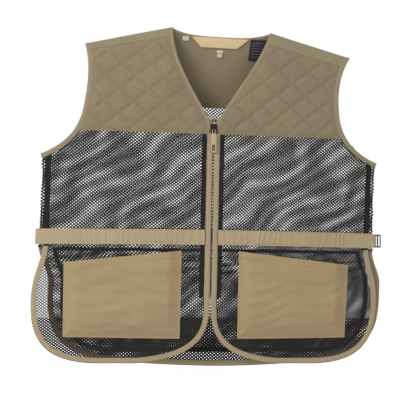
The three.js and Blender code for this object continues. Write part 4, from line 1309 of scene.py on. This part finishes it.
# %% Pockets
POCKET_TOP = BELT_TOP + BELT_HEIGHT + POCKET_BELOW_BELT
POCKET_BOTTOM = FRONT_HEM - POCKET_ABOVE_HEM
POCKET_TAPER, POCKET_SEW = 2, 5.0


def pocket_place(s, t):
    outer = POCKET_OUT - POCKET_TAPER * t
    top, bottom = POCKET_TOP + POCKET_SLANT * s, POCKET_BOTTOM - POCKET_TAPER * s
    return POCKET_IN + (outer - POCKET_IN) * s, top + (bottom - top) * t


def pocket_face(u, v):
    """Height of the pocket's outer face."""
    s = (u - POCKET_IN) / (POCKET_OUT - POCKET_IN)
    top, bottom = POCKET_TOP + POCKET_SLANT * s, POCKET_BOTTOM - POCKET_TAPER * s
    outer = POCKET_OUT - POCKET_TAPER * (v - top) / (bottom - top)
    from_seam = np.minimum.reduce([u - POCKET_IN, outer - u, bottom - v])
    rise = smooth(from_seam / 26)
    folds = (np.sin(0.085 * v + 0.012 * u + 1.2 * np.sin(0.021 * u + 0.4))
             + 0.6 * np.sin(0.19 * v - 0.03 * u + 1.5 * np.sin(0.033 * u + 0.02 * v) + 2)
             + 0.45 * np.sin(0.31 * v + 0.05 * u + 2 * np.sin(0.05 * u)) * smooth((v - top - 20) / 30))
    sewn = 0.35 * np.exp(-((from_seam - POCKET_SEW) / 1.2) ** 2) + 0.4 * np.exp(-((v - top - 13) / 1.2) ** 2)
    pucker = 0.22 * np.sin(0.9 * (u + v)) * np.exp(-((from_seam - POCKET_SEW) / 3.0) ** 2)
    hem = 0.5 * smooth((14 - (v - top)) / 2)
    return 2.9 + 8.6 * rise + 1.15 * rise * folds - sewn + pucker + hem


def pocket(side, word):
    def place(s, t):
        u, v = pocket_place(s, t)
        return side * u, v, pocket_face(u, v), FRONT, (0, 0)
    piece = panel(f"pocket_{word}_cloth", 130, 100, place, "pocket_cloth", 1.0, (0, -1, 0),
                  (f"pocket_{word}",), edge=0.0004)
    inset, low, top = POCKET_SEW, POCKET_BOTTOM - POCKET_SEW, POCKET_TOP + 1.5
    out = POCKET_OUT - POCKET_TAPER - inset
    corner_rows = [
        row_of("seam_in", [(POCKET_IN + inset, top), (POCKET_IN + inset, low)], side, height=sewn_height),
        row_of("seam_low", [(POCKET_IN + inset, low), (out, low - POCKET_TAPER)], side, height=sewn_height),
        row_of("seam_out", [(out + 1, POCKET_TOP + POCKET_SLANT + 1), (out, low - POCKET_TAPER)], side,
               height=sewn_height),
        row_of("hem", [(POCKET_IN + 2, POCKET_TOP + 13), (POCKET_OUT - 3, POCKET_TOP + POCKET_SLANT + 13)],
               side, height=sewn_height)]
    stitches = gather_up(f"pocket_{word}_stitches", corner_rows)
    outline = mirrored(np.array([pocket_place(s, t) for s, t in ((0, 0), (1, 0), (1, 1), (0, 1))]), side)
    declare_sheet(piece, outline, with_pieces=[stitches])
    return piece


def sewn_height(u, v):
    return pocket_face(u, v) + 0.12


for side, word in SIDES:
    pocket(side, word)

# %% [markdown]
# ## The rear pouch
#
# Behind, a wide pouch of the same black net hangs below the belt, sewn down at the sides and along its
# rounded bottom, with a black tape round its edge.

# %% Rear pouch
def distance_to(u, v, line):
    """Least distance from each point to a line of the pattern."""
    best = np.full(u.shape, np.inf)
    for (u0, v0), (u1, v1) in zip(line[:-1], line[1:]):
        run = max(math.hypot(u1 - u0, v1 - v0), 1e-9)
        share = np.clip(((u - u0) * (u1 - u0) + (v - v0) * (v1 - v0)) / run ** 2, 0, 1)
        best = np.minimum(best, np.hypot(u - u0 - share * (u1 - u0), v - v0 - share * (v1 - v0)))
    return best


pouch_half, pouch_top, pouch_low = CHEST_HALF - POUCH_INSET, VENT_DROP + 4, BACK_LENGTH - POUCH_ABOVE_HEM
pouch_flank = curve(
    (pouch_half, pouch_top), (pouch_half, VENT_DROP + POUCH_CORNER_BELOW),
    (pouch_half, pouch_low - POUCH_CORNER_UP, pouch_half - POUCH_CORNER_ACROSS / 4, pouch_low,
     pouch_half - POUCH_CORNER_ACROSS, pouch_low))
pouch_seam = np.vstack([pouch_flank, mirrored(pouch_flank, -1)[::-1]])


def pouch_face(u, v):
    return 2.8 + 9.4 * smooth(distance_to(u, v, pouch_seam) / 24)


POUCH_CELL, POUCH_YARN = (6.9, 5.6), 1.05
rear_pouch = net("rear_pouch_cloth", pouch_seam, lambda u, v: (u, v, pouch_face(u, v), BACK), POUCH_CELL,
                 POUCH_YARN, "pouch_net", (0, 1, 0), ("rear_pouch",), turn_by=-0.04)
pouch_path, _ = resampled(pouch_seam, 4.0)
pouch_tape = swept("pouch_seam_tape", pouch_path, edge_normals(pouch_path, 1.0),
                   np.full(len(pouch_path), BACK), np.zeros((len(pouch_path), 2)),
                   tape_section(8.0, top=3.6, low=1.9), "black_tape")


def pouch_rim(s, t):
    u, v = (pouch_half - 1) * (1 - 2 * s), pouch_top - 1 + 6 * t
    return u, v, pouch_face(u, v) + 0.7, BACK, (0, 0)


pouch_hem = panel("pouch_hem_tape", 160, 4, pouch_rim, "black_tape", 0.9, (0, 1, 0))
declare_sheet(rear_pouch, pouch_seam, with_pieces=[pouch_tape, pouch_hem])

# %% [markdown]
# ## Labels
#
# Four labels are sewn inside the back of the neck: a wide one, a size label of two small white patches,
# a laundry tab and a black care label. The wide one is left blank, and the black one carries plain even
# lines.

# %% Labels
LABEL_TOP = NECK_SCOOP + NECK_BINDING - 4
LABEL_OUT = -1.35


def label(name, top, low, drop, finish, stands_for=(), out=LABEL_OUT, thick=0.45):
    """A flat label: from and to across at its top and at its foot, and where it starts and ends down."""
    def place(s, t):
        left = top[0] * (1 - t) + low[0] * t
        right = top[1] * (1 - t) + low[1] * t
        v = drop[0] + (drop[1] - drop[0]) * t
        return left + (right - left) * s, LABEL_TOP + v, out - 0.2 * np.sin(3 * t), BACK, (0, 0)
    return panel(name, 30, 8, place, finish, thick, (0, -1, 0), stands_for, edge=0.0001)


labels = [
    label("neck_label_cloth", (-53, 53), (-34, 34), (0, 18), "cream_label", ("neck_label",)),
    label("size_label_upper", (-4, 8), (-4, 8), (22, 27.5), "white_label", ("size_label",)),
    label("size_label_lower", (-2.5, 7), (-2.5, 7), (28.5, 35), "white_label"),
    label("laundry_tab_cloth", (-70, -58), (-70, -58), (0, 8), "white_label", ("laundry_tab",)),
    label("care_label_cloth", (57, 87), (57, 87), (-1, 38), "black_label", ("care_label",)),
    *[label(f"care_label_line_{k}", (61, 83), (61, 83 - 5 * (k % 2)), (5 + 5 * k, 5.8 + 5 * k), "label_print",
            out=LABEL_OUT - 0.2, thick=0.2) for k in range(6)],
]

# %% [markdown]
# ## What each sheet was cut to
#
# The pattern gives the flat size of every cloth panel.

# %% Sheets
fronts = {side: [front_bindings[side], *tapes[side], *belts[side]] for side, _ in SIDES}
for side, _ in SIDES:
    declare_sheet(front_nets[side], front_net_outline(side),
                  with_pieces=fronts[side])
declare_sheet(back_nets[0], back_net_outline(), with_pieces=[*arm_bindings, *back_belt])
declare_sheet(back_nets[1], skirt_net_outline(), with_pieces=[hem_binding])
caps = [np.array([(NECK_HALF, -FORWARD_SEAM[side][0]),
                  (SHOULDER_HALF, SHOULDER_DROP - FORWARD_SEAM[side][1])]) for side, _ in SIDES]
arm = arm_edge[arm_edge[:, 1] < BACK_YOKE_DROP]
halves = [np.vstack([back_neck_edge[::-1], cap, arm, (arm_u(BACK_YOKE_DROP), BACK_YOKE_DROP)])
          for cap in caps]
declare_sheet(back_yoke, np.vstack([halves[0], mirrored(halves[1], -1)[::-1]]),
              with_pieces=[neck_binding, yoke_fold, *labels])
